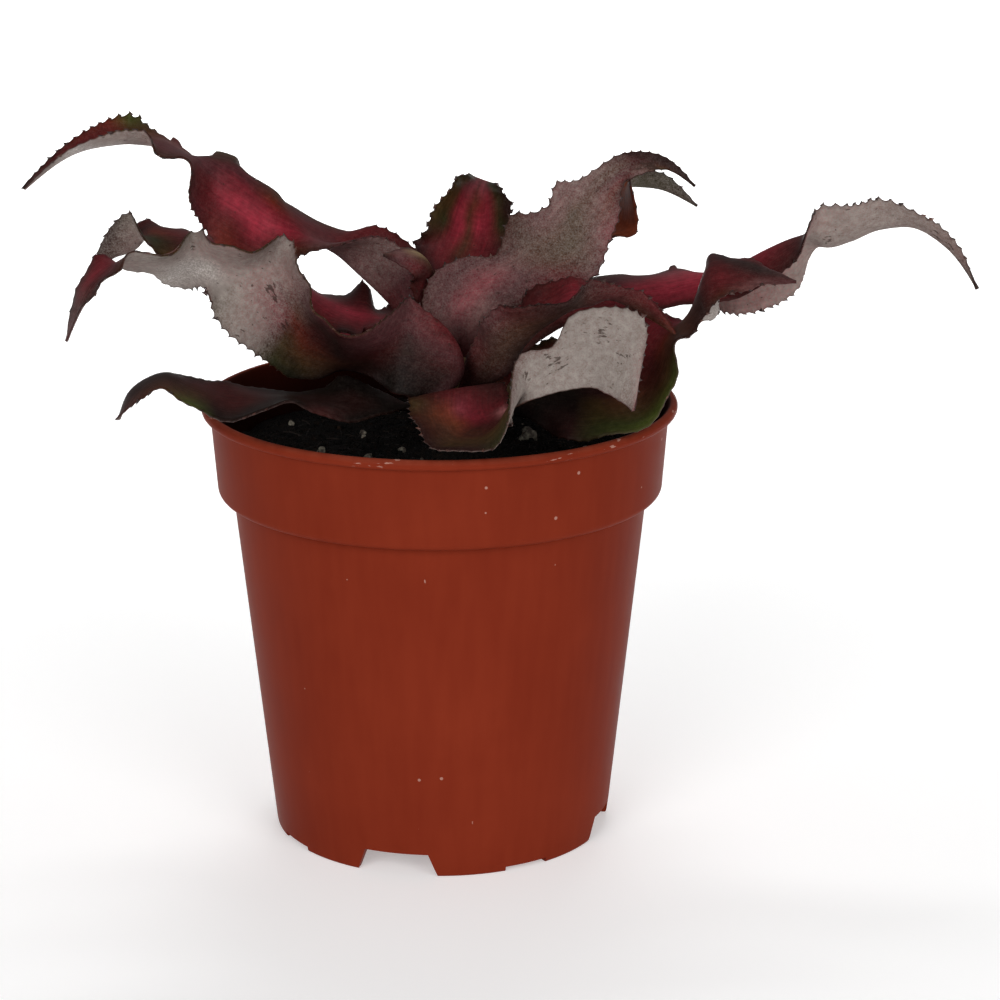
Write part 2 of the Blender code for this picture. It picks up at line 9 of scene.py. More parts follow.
import bmesh
import bpy
import numpy as np
from mathutils import Matrix, Vector, noise


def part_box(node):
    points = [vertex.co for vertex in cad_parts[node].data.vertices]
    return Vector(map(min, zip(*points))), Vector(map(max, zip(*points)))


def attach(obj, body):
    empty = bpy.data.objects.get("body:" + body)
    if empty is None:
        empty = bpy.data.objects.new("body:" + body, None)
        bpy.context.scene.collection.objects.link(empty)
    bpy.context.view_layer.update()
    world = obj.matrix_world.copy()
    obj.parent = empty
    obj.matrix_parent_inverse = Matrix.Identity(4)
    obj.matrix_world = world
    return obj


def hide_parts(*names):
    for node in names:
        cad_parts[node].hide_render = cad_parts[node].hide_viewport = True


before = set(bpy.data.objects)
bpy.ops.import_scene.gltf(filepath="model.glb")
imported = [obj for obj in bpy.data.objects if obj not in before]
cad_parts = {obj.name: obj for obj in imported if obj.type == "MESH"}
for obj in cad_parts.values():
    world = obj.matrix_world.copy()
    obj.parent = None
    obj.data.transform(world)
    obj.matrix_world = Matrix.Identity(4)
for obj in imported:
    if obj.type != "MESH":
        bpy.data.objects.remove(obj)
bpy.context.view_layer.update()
MM = 0.001


# ---------------------------------------------------------------------------------------------
# Pot. A nursery pot is injection-moulded polypropylene with walls of about 1 mm: a rolled lip, a
# straight collar that stiffens the mouth, a tapered body and a foot ring with drainage notches.
# ---------------------------------------------------------------------------------------------

pot_low, pot_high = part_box("pot")
pot_middle = (pot_low + pot_high) / 2
POT_AXIS = Vector((pot_middle.x, pot_middle.y, 0.0))
RIM_RADIUS = (pot_high.x - pot_low.x) / 2
POT_HEIGHT = pot_high.z
RIM_ROLL = 2.0 * MM
NECK_RADIUS = 0.6 * MM
NECK_DROP = 0.5 * MM
COLLAR_TOP_RADIUS = RIM_RADIUS - 1.5 * MM
COLLAR_FOOT_RADIUS = RIM_RADIUS - 2.9 * MM
COLLAR_FOOT_HEIGHT = 67.5 * MM
COLLAR_CORNER = 1.5 * MM
COLLAR_ROWS = 14
COLLAR_UNDERCUT = 0.1 * MM
BODY_TOP_RADIUS = RIM_RADIUS - 5.7 * MM
BODY_FOOT_RADIUS = RIM_RADIUS - 12.9 * MM
BODY_ROWS = 24
POT_WALL = 1.0 * MM
FOOT_CORNER = 0.5 * MM
FOOT_WALL = 2.2 * MM
BASE_UNDERSIDE = 5.0 * MM
BASE_THICKNESS = 1.2 * MM
NOTCHES = 4
FIRST_NOTCH_DEG = -105.5
NOTCH_TOP_WIDTH = 12.4 * MM
NOTCH_FOOT_WIDTH = 16.5 * MM
NOTCH_HEIGHT = 4.6 * MM
PAD_HEIGHT = 1.0 * MM
PAD_GAP_WIDTH = 9.0 * MM
DRAIN_RADIUS = 3.2 * MM
DRAIN_FROM_AXIS = 26.0 * MM
POT_STEPS = 240
SHARP_EDGE_DEG = 38


def arc(centre, radius, start_deg, end_deg, count):
    """Points (x, z) on an arc, from the start angle to the end angle."""
    angles = np.radians(np.linspace(start_deg, end_deg, count))
    return [(centre[0] + radius * math.cos(a), centre[1] + radius * math.sin(a)) for a in angles]


def between(start, end, share):
    return start + (end - start) * share


def collar_radius(height):
    share = (height - COLLAR_FOOT_HEIGHT) / (POT_HEIGHT - COLLAR_FOOT_HEIGHT)
    return between(COLLAR_FOOT_RADIUS, COLLAR_TOP_RADIUS, share)


def body_radius(height):
    return between(BODY_FOOT_RADIUS, BODY_TOP_RADIUS, height / COLLAR_FOOT_HEIGHT)


def pot_profile():
    """Points (x, z) from the inner floor, up the inside, over the lip and down to the base."""
    floor = BASE_UNDERSIDE + BASE_THICKNESS
    shoulder = COLLAR_FOOT_HEIGHT + POT_WALL
    half_roll = RIM_ROLL / 2
    under_roll = POT_HEIGHT - RIM_ROLL
    inside = [
        (0.0, floor),
        (body_radius(floor) - POT_WALL, floor),
        (body_radius(COLLAR_FOOT_HEIGHT) - POT_WALL, COLLAR_FOOT_HEIGHT),
        (body_radius(shoulder) - POT_WALL + FOOT_CORNER, shoulder),
        (collar_radius(shoulder) - POT_WALL - FOOT_CORNER, shoulder),
        (collar_radius(shoulder) - POT_WALL, shoulder + FOOT_CORNER),
        (collar_radius(under_roll) - POT_WALL, under_roll),
    ]
    roll_centre = (RIM_RADIUS - half_roll, POT_HEIGHT - half_roll)
    lip = arc(roll_centre, half_roll, 165, -70, 18)
    neck_centre = (collar_radius(under_roll) + NECK_RADIUS, under_roll - NECK_DROP)
    neck = arc(neck_centre, NECK_RADIUS, 100, 180, 5)
    corner_height = COLLAR_FOOT_HEIGHT + COLLAR_CORNER
    collar = [
        (collar_radius(height), height)
        for height in np.linspace(under_roll - NECK_RADIUS, corner_height, COLLAR_ROWS)[1:-1]
    ]
    corner_centre = (collar_radius(corner_height) - COLLAR_CORNER, corner_height)
    corner = arc(corner_centre, COLLAR_CORNER, 0, -84, 10)
    body = [
        (body_radius(height), height)
        for height in np.linspace(
            COLLAR_FOOT_HEIGHT - COLLAR_UNDERCUT, 2 * FOOT_CORNER, BODY_ROWS
        )
    ]
    foot = arc((BODY_FOOT_RADIUS - FOOT_CORNER, FOOT_CORNER), FOOT_CORNER, 0, -90, 6)
    foot_inside = BODY_FOOT_RADIUS - FOOT_WALL
    under = [
        (foot_inside, 0.0),
        (foot_inside - FOOT_CORNER, BASE_UNDERSIDE),
        (0.0, BASE_UNDERSIDE),
    ]
    return inside + lip + neck + collar + corner + body + foot + under


def link_new(name, mesh):
    made = bpy.data.objects.new(name, mesh)
    bpy.context.scene.collection.objects.link(made)
    return made


def finished_mesh(source, name):
    """A plain object with the mesh that the source's modifiers make. The source is removed."""
    bpy.context.view_layer.update()
    graph = bpy.context.evaluated_depsgraph_get()
    mesh = bpy.data.meshes.new_from_object(source.evaluated_get(graph))
    mesh.transform(source.matrix_world)
    bpy.data.objects.remove(source)
    mesh.name = name
    return link_new(name, mesh)


def turned(name, profile, steps):
    """A closed shape turned about Z. The profile runs down its outer side."""
    mesh = bpy.data.meshes.new(name)
    edges = [(i, i + 1) for i in range(len(profile) - 1)]
    mesh.from_pydata([(x, 0.0, z) for x, z in profile], edges, [])
    made = link_new(name, mesh)
    screw = made.modifiers.new("turn", "SCREW")
    screw.axis = "Z"
    screw.steps = steps
    screw.render_steps = steps
    screw.use_merge_vertices = True
    screw.merge_threshold = 0.01 * MM
    return made


def on_ring(radius, degrees, height):
    angle = math.radians(degrees)
    return Vector((radius * math.cos(angle), radius * math.sin(angle), height))


def block_cutter(radial, foot_width, top_width, height, degrees):
    """A block across the foot ring, with a top narrower than its foot."""
    spare = 1.0 * MM
    bpy.ops.mesh.primitive_cube_add(size=1.0)
    made = bpy.context.active_object
    for vertex in made.data.vertices:
        vertex.co.y *= top_width if vertex.co.z > 0 else foot_width
        vertex.co.x *= radial
        vertex.co.z *= height + spare
    ring = BODY_FOOT_RADIUS - FOOT_WALL / 2
    made.location = on_ring(ring, degrees, (height + spare) / 2 - spare)
    made.rotation_euler.z = math.radians(degrees)
    return made


def foot_cutters():
    made = []
    for i in range(NOTCHES):
        degrees = FIRST_NOTCH_DEG + i * 360 / NOTCHES
        half_way = degrees + 180 / NOTCHES
        radial = 4 * FOOT_WALL
        made.append(block_cutter(radial, NOTCH_FOOT_WIDTH, NOTCH_TOP_WIDTH, NOTCH_HEIGHT, degrees))
        made.append(block_cutter(radial, PAD_GAP_WIDTH, PAD_GAP_WIDTH, PAD_HEIGHT, half_way))
        bpy.ops.mesh.primitive_cylinder_add(
            vertices=32, radius=DRAIN_RADIUS, depth=4 * BASE_THICKNESS
        )
        drain = bpy.context.active_object
        drain.location = on_ring(DRAIN_FROM_AXIS, degrees, BASE_UNDERSIDE + BASE_THICKNESS / 2)
        made.append(drain)
    return made


def linear(code):
    """Linear RGBA of an sRGB hex colour."""
    parts = [int(code[i:i + 2], 16) / 255 for i in (1, 3, 5)]
    return (*[c / 12.92 if c <= 0.04045 else ((c + 0.055) / 1.055) ** 2.4 for c in parts], 1.0)


def add_node(tree, kind, inputs=(), stops=(), **settings):
    """Adds a node. Its inputs come in order, or by name or number, and each is a number, a colour
    or another node's output socket. A ramp's stops are (place, hex colour)."""
    made = tree.nodes.new(kind)
    for key, value in settings.items():
        setattr(made, key, value)
    for key, value in (inputs.items() if isinstance(inputs, dict) else enumerate(inputs)):
        if isinstance(value, bpy.types.NodeSocket):
            tree.links.new(value, made.inputs[key])
        else:
            made.inputs[key].default_value = value
    if stops:
        ramp = made.color_ramp
        while len(ramp.elements) < len(stops):
            ramp.elements.new(0.5)
        for element, (place, colour) in zip(ramp.elements, stops):
            element.position = place
            element.color = linear(colour)
    return made


def new_material(name, **settings):
    """A material with its Principled shader, whose uniform settings are given by socket name."""
    material = bpy.data.materials.new(name)
    material.use_nodes = True
    tree = material.node_tree
    shader = tree.nodes["Principled BSDF"]
    for key, value in settings.items():
        shader.inputs[key.replace("_", " ")].default_value = value
    return material, tree, shader


def moulded_polypropylene():
    """Terracotta-coloured polypropylene straight from the mould: a satin skin with faint flow
    marks, pale scuffs from handling, specks of lime and dust, a paler lip top that is partly wear
    and partly a painted highlight, and an inner side painted near black, partly peat dust and
    partly painted shade in the pot's mouth."""
    material, tree, shader = new_material(
        "moulded_polypropylene", IOR=1.49, Specular_IOR_Level=0.015
    )
    place = add_node(tree, "ShaderNodeTexCoord").outputs["Object"]
    centred = add_node(
        tree, "ShaderNodeMapping",
        {"Vector": place, "Location": (-POT_AXIS.x, -POT_AXIS.y, 0.0)},
    ).outputs[0]
    height = add_node(tree, "ShaderNodeSeparateXYZ", (centred,)).outputs["Z"]
    flow_space = add_node(
        tree, "ShaderNodeMapping", {"Vector": centred, "Scale": (1.0, 1.0, 0.12)}
    ).outputs[0]
    clouds, patches, fine, flow = [
        add_node(
            tree, "ShaderNodeTexNoise", {"Vector": space, "Scale": 1 / size, "Detail": detail}
        ).outputs["Fac"]
        for space, size, detail in (
            (centred, 22 * MM, 4.0), (centred, 13 * MM, 1.0), (centred, 0.5 * MM, 2.0),
            (flow_space, 2.5 * MM, 3.0),
        )
    ]
    skin, flow_marks = [
        add_node(tree, "ShaderNodeValToRGB", (pattern,), stops=stops).outputs[0]
        for pattern, stops in (
            (clouds, [(0.3, "#6E2515"), (0.55, "#732817"), (0.75, "#782B19")]),
            (flow, [(0.35, "#6A2414"), (0.65, "#A0452C")]),
        )
    ]
    grains = add_node(tree, "ShaderNodeTexVoronoi", {"Vector": centred, "Scale": 1 / (4.2 * MM)})
    chance = add_node(tree, "ShaderNodeSeparateColor", (grains.outputs["Color"],)).outputs[0]
    # The paler top of the lip is partly wear and partly a painted highlight.
    grain_size, on_lip, lip_wear_and_highlight, low_side, gloss = [
        add_node(
            tree, "ShaderNodeMapRange",
            {"Value": value, "From Min": start, "From Max": end, "To Min": low, "To Max": high},
        ).outputs[0]
        for value, start, end, low, high in (
            (chance, 0.8, 1.0, 0.0, 0.085),
            (height, POT_HEIGHT - 1.8 * MM, POT_HEIGHT - 1.0 * MM, 0.0, 1.0),
            (height, POT_HEIGHT - 0.9 * MM, POT_HEIGHT, 0.0, 0.15),
            (height, POT_HEIGHT - 8.0 * MM, POT_HEIGHT - 0.6 * MM, 1.0, 0.88),
            (clouds, 0.3, 0.7, 0.36, 0.46),
        )
    ]
    scuffs = add_node(
        tree, "ShaderNodeMath", (grains.outputs["Distance"], grain_size), operation="LESS_THAN"
    ).outputs[0]
    # Scratches on the whole pot, then rub marks on the lip: turn and stretch, width, detail, how
    # rare and how clustered they are, and where.
    for turn, stretch, width, detail, rare, clustered, where in (
        ((0.0, 0.5, 0.0), (1.0, 1.0, 0.16), 0.9 * MM, 2.0, 0.66, 0.7, 1.0),
        ((0.0, 0.0, 0.0), (0.3, 0.3, 1.4), 0.8 * MM, 3.0, 0.64, 0.52, on_lip),
    ):
        space = add_node(
            tree, "ShaderNodeMapping", {"Vector": centred, "Rotation": turn, "Scale": stretch}
        ).outputs[0]
        strokes = add_node(
            tree, "ShaderNodeTexNoise", {"Vector": space, "Scale": 1 / width, "Detail": detail}
        ).outputs["Fac"]
        marks = where
        for pattern, least in ((strokes, rare), (patches, clustered)):
            over = add_node(
                tree, "ShaderNodeMath", (pattern, least), operation="GREATER_THAN"
            ).outputs[0]
            marks = add_node(tree, "ShaderNodeMath", (over, marks), operation="MULTIPLY").outputs[0]
        scuffs = add_node(tree, "ShaderNodeMath", (scuffs, marks), operation="MAXIMUM").outputs[0]
    scuff_share = add_node(tree, "ShaderNodeMath", (scuffs, 0.4), operation="MULTIPLY").outputs[0]
    lip_highlight_and_wear_share = add_node(tree, "ShaderNodeMath", (lip_wear_and_highlight, flow), operation="MULTIPLY").outputs[0]
    flattened = add_node(
        tree, "ShaderNodeVectorMath", (centred, (1.0, 1.0, 0.0)), operation="MULTIPLY"
    ).outputs[0]
    from_axis = add_node(
        tree, "ShaderNodeVectorMath", (flattened,), operation="LENGTH"
    ).outputs["Value"]
    taper = (COLLAR_TOP_RADIUS - COLLAR_FOOT_RADIUS) / (POT_HEIGHT - COLLAR_FOOT_HEIGHT)
    wall_middle = add_node(
        tree, "ShaderNodeMath", (height, taper, collar_radius(0.0) - POT_WALL / 2),
        operation="MULTIPLY_ADD",
    ).outputs[0]
    lip_middle = add_node(
        tree, "ShaderNodeMath", (on_lip, 0.8 * MM, wall_middle), operation="MULTIPLY_ADD"
    ).outputs[0]
    depth = add_node(
        tree, "ShaderNodeMath", (lip_middle, from_axis), operation="SUBTRACT"
    ).outputs[0]
    inner_side = add_node(
        tree, "ShaderNodeMapRange",
        {"Value": depth, "From Min": 0.0, "From Max": 0.3 * MM, "To Min": 0.0, "To Max": 1.0},
    ).outputs[0]
    in_collar = add_node(
        tree, "ShaderNodeMath", (height, COLLAR_FOOT_HEIGHT + 2 * COLLAR_CORNER),
        operation="GREATER_THAN",
    ).outputs[0]
    # Painted shade: the inner side above the collar's foot is mixed to near black, partly peat dust
    # and partly painted shade in the pot's mouth under the leaves.
    peat_dust_and_shade = inner_side
    for limit in (low_side, in_collar):
        peat_dust_and_shade = add_node(
            tree, "ShaderNodeMath", (peat_dust_and_shade, limit), operation="MULTIPLY"
        ).outputs[0]
    colour = skin
    for share, layer in (
        (0.05, flow_marks), (scuff_share, linear("#C9A596")), (lip_highlight_and_wear_share, linear("#C07A62")),
        (peat_dust_and_shade, linear("#1C0906")),
    ):
        colour = add_node(
            tree, "ShaderNodeMix", {0: share, 6: colour, 7: layer}, data_type="RGBA"
        ).outputs[2]
    tree.links.new(colour, shader.inputs["Base Color"])
    tree.links.new(gloss, shader.inputs["Roughness"])
    skin_bump = add_node(
        tree, "ShaderNodeBump", {"Height": fine, "Strength": 0.35, "Distance": 0.02 * MM}
    ).outputs[0]
    flow_bump = add_node(
        tree, "ShaderNodeBump",
        {"Height": flow, "Strength": 0.25, "Distance": 0.04 * MM, "Normal": skin_bump},
    ).outputs[0]
    tree.links.new(flow_bump, shader.inputs["Normal"])
    return material


def hand_over(piece, node):
    """The piece stands for the CAD node and moves with it."""
    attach(piece, "root")
    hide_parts(node)


pot_blank = turned("pot_blank", pot_profile(), POT_STEPS)
pot_cutters = foot_cutters()
for tool in pot_cutters:
    boolean = pot_blank.modifiers.new("cut", "BOOLEAN")
    boolean.operation = "DIFFERENCE"
    boolean.object = tool
pot = finished_mesh(pot_blank, "moulded_pot")
for tool in pot_cutters:
    bpy.data.objects.remove(tool)
pot.data.transform(Matrix.Translation(POT_AXIS))
pot.data.shade_smooth()
pot.data.set_sharp_from_angle(angle=math.radians(SHARP_EDGE_DEG))
pot.data.materials.append(moulded_polypropylene())
hand_over(pot, "pot")


# ---------------------------------------------------------------------------------------------
# Peat. Moist peat fills the pot to about 8 mm under the lip. It is painted near black, partly its
# own dark tone and partly painted shade from the leaves above. Its top is crumbly, with root
# fibres, dark crumbs and white grains of expanded perlite pressed into it.
# ---------------------------------------------------------------------------------------------

peat_low, peat_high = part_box("peat")
PEAT_TOP = peat_high.z
PEAT_RADIUS = (peat_high.x - peat_low.x) / 2 - 0.2 * MM
PEAT_RINGS = 90
PEAT_SPOKES = 240
PEAT_SINK = 1.2 * MM
# The rough top's features: their size and height.
PEAT_FEATURES = ((9.0 * MM, 0.9 * MM), (2.2 * MM, 0.55 * MM), (0.8 * MM, 0.2 * MM))


def noise_at(point, size, seed):
    """Smooth noise from -1 to 1 with features of the given size."""
    return noise.noise(Vector(point) / size + Vector((seed * 7.31, seed * 3.77, seed * 5.13)))


def peat_height(x, y):
    """Height of the peat's rough top. It sinks a little where it has shrunk from the wall."""
    rough = sum(
        height * noise_at((x, y, 0.0), size, seed)
        for seed, (size, height) in enumerate(PEAT_FEATURES, 1)
    )
    edge = math.hypot(x, y) / PEAT_RADIUS
    return PEAT_TOP + rough - PEAT_SINK * (1 + edge ** 8)


def peat_side():
    """Points (radius, height) down the peat's side, which takes the shape of the pot's inside."""
    clear = POT_WALL + 0.3 * MM
    floor = peat_low.z
    shoulder = COLLAR_FOOT_HEIGHT + POT_WALL
    return [
        (collar_radius(shoulder) - clear - FOOT_CORNER, shoulder + 2 * FOOT_CORNER),
        (body_radius(COLLAR_FOOT_HEIGHT) - clear, shoulder + FOOT_CORNER),
        (body_radius(floor) - clear, floor),
    ]


def join_rings(built, rings):
    """Faces between rings of points that run down the outside of a shape."""
    for upper, lower in zip(rings, rings[1:]):
        count = len(upper)
        for k in range(count):
            after = (k + 1) % count
            built.faces.new((upper[k], lower[k], lower[after], upper[after]))


def linked(built, name, smooth=True):
    """A new object with the mesh that was built."""
    mesh = bpy.data.meshes.new(name)
    built.to_mesh(mesh)
    built.free()
    if smooth:
        mesh.shade_smooth()
    return link_new(name, mesh)


def rough_peat(name):
    """A closed body: rings from the middle of the top to the wall, then down to the floor."""
    built = bmesh.new()
    turns = [2 * math.pi * k / PEAT_SPOKES for k in range(PEAT_SPOKES)]
    middle = built.verts.new((0.0, 0.0, peat_height(0.0, 0.0)))
    rings = []
    for i in range(1, PEAT_RINGS + 1):
        radius = PEAT_RADIUS * i / PEAT_RINGS
        spots = [(radius * math.cos(a), radius * math.sin(a)) for a in turns]
        rings.append([built.verts.new((x, y, peat_height(x, y))) for x, y in spots])
    for radius, height in peat_side():
        rings.append(
            [built.verts.new((radius * math.cos(a), radius * math.sin(a), height)) for a in turns]
        )
    bottom = built.verts.new((0.0, 0.0, peat_low.z))
    join_rings(built, rings)
    for k in range(PEAT_SPOKES):
        after = (k + 1) % PEAT_SPOKES
        built.faces.new((middle, rings[0][k], rings[0][after]))
        built.faces.new((rings[-1][k], bottom, rings[-1][after]))
    made = linked(built, name)
    made.data.transform(Matrix.Translation(POT_AXIS))
    return made


def mottled(name, size, detail, stops, stretch=1.0, **settings):
    """A material whose colour follows noise of the given size, from stop to stop, with its place
    and its noise. The stretch squeezes the noise along Z."""
    material, tree, shader = new_material(name, **settings)
    place = add_node(tree, "ShaderNodeTexCoord").outputs["Object"]
    squeezed = add_node(
        tree, "ShaderNodeMapping", {"Vector": place, "Scale": (1.0, 1.0, stretch)}
    ).outputs[0]
    pattern = add_node(
        tree, "ShaderNodeTexNoise", {"Vector": squeezed, "Scale": 1 / size, "Detail": detail}
    ).outputs["Fac"]
    colour = add_node(tree, "ShaderNodeValToRGB", (pattern,), stops=stops).outputs[0]
    tree.links.new(colour, shader.inputs["Base Color"])
    return material, tree, shader, place, pattern


def moist_peat_and_shade():
    """Moist sphagnum peat: nearly black, partly its own tone and partly painted shade from the
    leaves above; dull, with brown fibres and damp glints.
    """
    # Painted shade: these stops are darker than peat itself, to stand for the shade under the
    # leaves. The loose crumbs share this finish.
    material, tree, shader, place, clumps = mottled(
        "moist_peat_and_shade", 1.6 * MM, 6.0, Specular_IOR_Level=0.2,
        stops=[(0.35, "#040302"), (0.55, "#0B0705"), (0.68, "#1A110B"), (0.8, "#322216")],
    )
    damp = add_node(
        tree, "ShaderNodeMapRange",
        {"Value": clumps, "From Min": 0.3, "From Max": 0.6, "To Min": 0.62, "To Max": 0.95},
    ).outputs[0]
    tree.links.new(damp, shader.inputs["Roughness"])
    crumbs = add_node(
        tree, "ShaderNodeTexNoise", {"Vector": place, "Scale": 1 / (0.5 * MM), "Detail": 5.0}
    ).outputs["Fac"]
    bump = add_node(
        tree, "ShaderNodeBump", {"Height": crumbs, "Strength": 1.0, "Distance": 0.5 * MM}
    ).outputs[0]
    tree.links.new(bump, shader.inputs["Normal"])
    return material


peat_finish = moist_peat_and_shade()
peat = rough_peat("peat_fill")
peat.data.materials.append(peat_finish)
hand_over(peat, "peat")


# ---------------------------------------------------------------------------------------------
# Crumbs, fibres and perlite. Loose crumbs of peat and short root fibres lie on the surface, and
# the grower's mix holds perlite, a volcanic glass blown into white, pitted grains of 1 to 3 mm.
# ---------------------------------------------------------------------------------------------

CRUMBS_PER_M2 = 420000.0
FIBRES_PER_M2 = 26000.0
PERLITE_PER_M2 = 3600.0
WALL_TO_GRAINS = 0.6 * MM
WALL_TO_FIBRES = 4.6 * MM


def new_tree(name, sockets):
    """A node tree with the named inputs and a geometry output, and the inputs it is given."""
    tree = bpy.data.node_groups.new(name, "GeometryNodeTree")
    for key, kind in sockets.items():
        tree.interface.new_socket(name=key, in_out="INPUT", socket_type="NodeSocket" + kind)
    tree.interface.new_socket(name="Copies", in_out="OUTPUT", socket_type="NodeSocketGeometry")
    return tree, tree.nodes.new("NodeGroupInput").outputs


def give_copies(tree, points, shape, turn, size, finish):
    """Ends a tree: a real copy of the shape on each point, with its finish."""
    model = add_node(tree, "GeometryNodeObjectInfo", {"Object": shape}).outputs["Geometry"]
    copies = add_node(
        tree, "GeometryNodeInstanceOnPoints",
        {"Points": points, "Instance": model, "Rotation": turn, "Scale": size},
    ).outputs[0]
    real = add_node(tree, "GeometryNodeRealizeInstances", (copies,)).outputs[0]
    finished = add_node(
        tree, "GeometryNodeSetMaterial", {"Geometry": real, "Material": finish}
    ).outputs[0]
    add_node(tree, "NodeGroupOutput", (finished,))


def scatter_tree():
    """Nodes that scatter a shape over a surface, each copy turned and sized at random."""
    tree, given = new_tree("scatter_on_peat", {
        "Surface": "Geometry", "Grain": "Object", "Grains per m2": "Float", "Smallest": "Float",
        "Largest": "Float", "Most Tilt": "Float", "Seed": "Int", "Finish": "Material",
    })
    spots = add_node(
        tree, "GeometryNodeDistributePointsOnFaces",
        {"Mesh": given["Surface"], "Density": given["Grains per m2"], "Seed": given["Seed"]},
    )
    size = add_node(
        tree, "FunctionNodeRandomValue",
        {2: given["Smallest"], 3: given["Largest"], "Seed": given["Seed"]},
        data_type="FLOAT",
    ).outputs[1]
    least = add_node(
        tree, "ShaderNodeMath", (given["Most Tilt"], -1.0), operation="MULTIPLY"
    ).outputs[0]
    lowest = add_node(tree, "ShaderNodeCombineXYZ", (least, least, -math.pi)).outputs[0]
    highest = add_node(
        tree, "ShaderNodeCombineXYZ", (given["Most Tilt"], given["Most Tilt"], math.pi)
    ).outputs[0]
    turn = add_node(
        tree, "FunctionNodeRandomValue", {0: lowest, 1: highest, "Seed": given["Seed"]},
        data_type="FLOAT_VECTOR",
    ).outputs[0]
    give_copies(tree, spots.outputs["Points"], given["Grain"], turn, size, given["Finish"])
    return tree


def with_inputs(host, tree, values):
    """Puts a node tree on the host and sets its inputs by name."""
    modifier = host.modifiers.new(tree.name, "NODES")
    modifier.node_group = tree
    for item in tree.interface.items_tree:
        if item.in_out == "INPUT" and item.name in values:
            modifier[item.identifier] = values[item.name]


def peat_skin(reach):
    """An open sheet over the peat's top, for things to lie on."""
    built = bmesh.new()
    count = 60
    step = 2 * reach / count
    rows = []
    for i in range(count + 1):
        row = []
        for j in range(count + 1):
            x = -reach + i * step
            y = -reach + j * step
            row.append(built.verts.new((x, y, peat_height(x, y))))
        rows.append(row)
    for i in range(count):
        for j in range(count):
            corners = (rows[i][j], rows[i + 1][j], rows[i + 1][j + 1], rows[i][j + 1])
            if max(math.hypot(c.co.x, c.co.y) for c in corners) < reach:
                built.faces.new(corners)
    return linked(built, "peat_skin", smooth=False)


def lump(name, detail, roughness, flatness, seed):
    """A pitted grain about 1 unit across."""
    built = bmesh.new()
    bmesh.ops.create_icosphere(built, subdivisions=detail, radius=0.5)
    for vertex in built.verts:
        vertex.co *= 1 + roughness * noise_at(vertex.co, 0.45, seed)
        vertex.co.z *= flatness
    return linked(built, name)


def fibre(name):
    """A bent root fibre, 1 unit long and four-sided."""
    built = bmesh.new()
    thickness = 0.018
    rings = []
    for i in range(6):
        along = i / 5 - 0.5
        middle = Vector((along, 0.22 * along * along, 0.06 * math.sin(5 * along)))
        corners = ((1, 0), (0, 1), (-1, 0), (0, -1))
        rings.append([built.verts.new(middle + Vector((0, a, b)) * thickness) for a, b in corners])
    join_rings(built, rings[::-1])
    built.faces.new(rings[0][::-1])
    built.faces.new(rings[-1])
    bmesh.ops.recalc_face_normals(built, faces=built.faces)
    return linked(built, name, smooth=False)


def expanded_perlite():
    """Expanded perlite: chalky white glass foam, pitted, stained brown where peat clings."""
    material, tree, shader, place, _ = mottled(
        "expanded_perlite", 0.9 * MM, 4.0, Roughness=0.85,
        stops=[(0.35, "#33271E"), (0.5, "#5F574E"), (0.68, "#96907F")],
    )
    pits = add_node(
        tree, "ShaderNodeTexVoronoi", {"Vector": place, "Scale": 1 / (0.35 * MM)}
    ).outputs["Distance"]
    bump = add_node(
        tree, "ShaderNodeBump", {"Height": pits, "Strength": 0.8, "Distance": 0.15 * MM}
    ).outputs[0]
    tree.links.new(bump, shader.inputs["Normal"])
    return material


def dry_fibre():
    """Dead root and moss fibre: brown, dull, lighter where it has dried."""
    stops = [(0.3, "#0E0805"), (0.7, "#241810")]
    return mottled("dry_root_fibre", 2.5 * MM, 2.0, stops, Roughness=0.85)[0]


scatter_nodes = scatter_tree()
skin = peat_skin(PEAT_RADIUS - WALL_TO_GRAINS)
fibre_skin = peat_skin(PEAT_RADIUS - WALL_TO_FIBRES)
crumb_shape = lump("crumb_shape", 1, 0.5, 0.8, 4)
perlite_shape = lump("perlite_shape", 3, 0.75, 0.85, 6)
fibre_shape = fibre("fibre_shape")
perlite_finish = expanded_perlite()
# What is scattered, on what: grains to a square metre, smallest and largest in millimetres, most
# tilt in radians, seed and finish.
for name, host, shape, per_m2, smallest, largest, tilt, seed, finish in (
    ("peat_crumbs", skin, crumb_shape, CRUMBS_PER_M2, 0.35, 1.7, 3.0, 11, peat_finish),
    ("peat_fibres", fibre_skin, fibre_shape, FIBRES_PER_M2, 2.5, 8.0, 0.25, 12, dry_fibre()),
    ("perlite_grains", skin, perlite_shape, PERLITE_PER_M2, 0.6, 1.5, 3.0, 5, perlite_finish),
):
    copy = link_new(name + "_host", host.data.copy())
    with_inputs(copy, scatter_nodes, {
        "Grain": shape, "Grains per m2": per_m2, "Smallest": smallest * MM,
        "Largest": largest * MM, "Most Tilt": tilt, "Seed": seed, "Finish": finish,
    })
    piece = finished_mesh(copy, name)
    piece.data.transform(Matrix.Translation(POT_AXIS))
    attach(piece, "root")

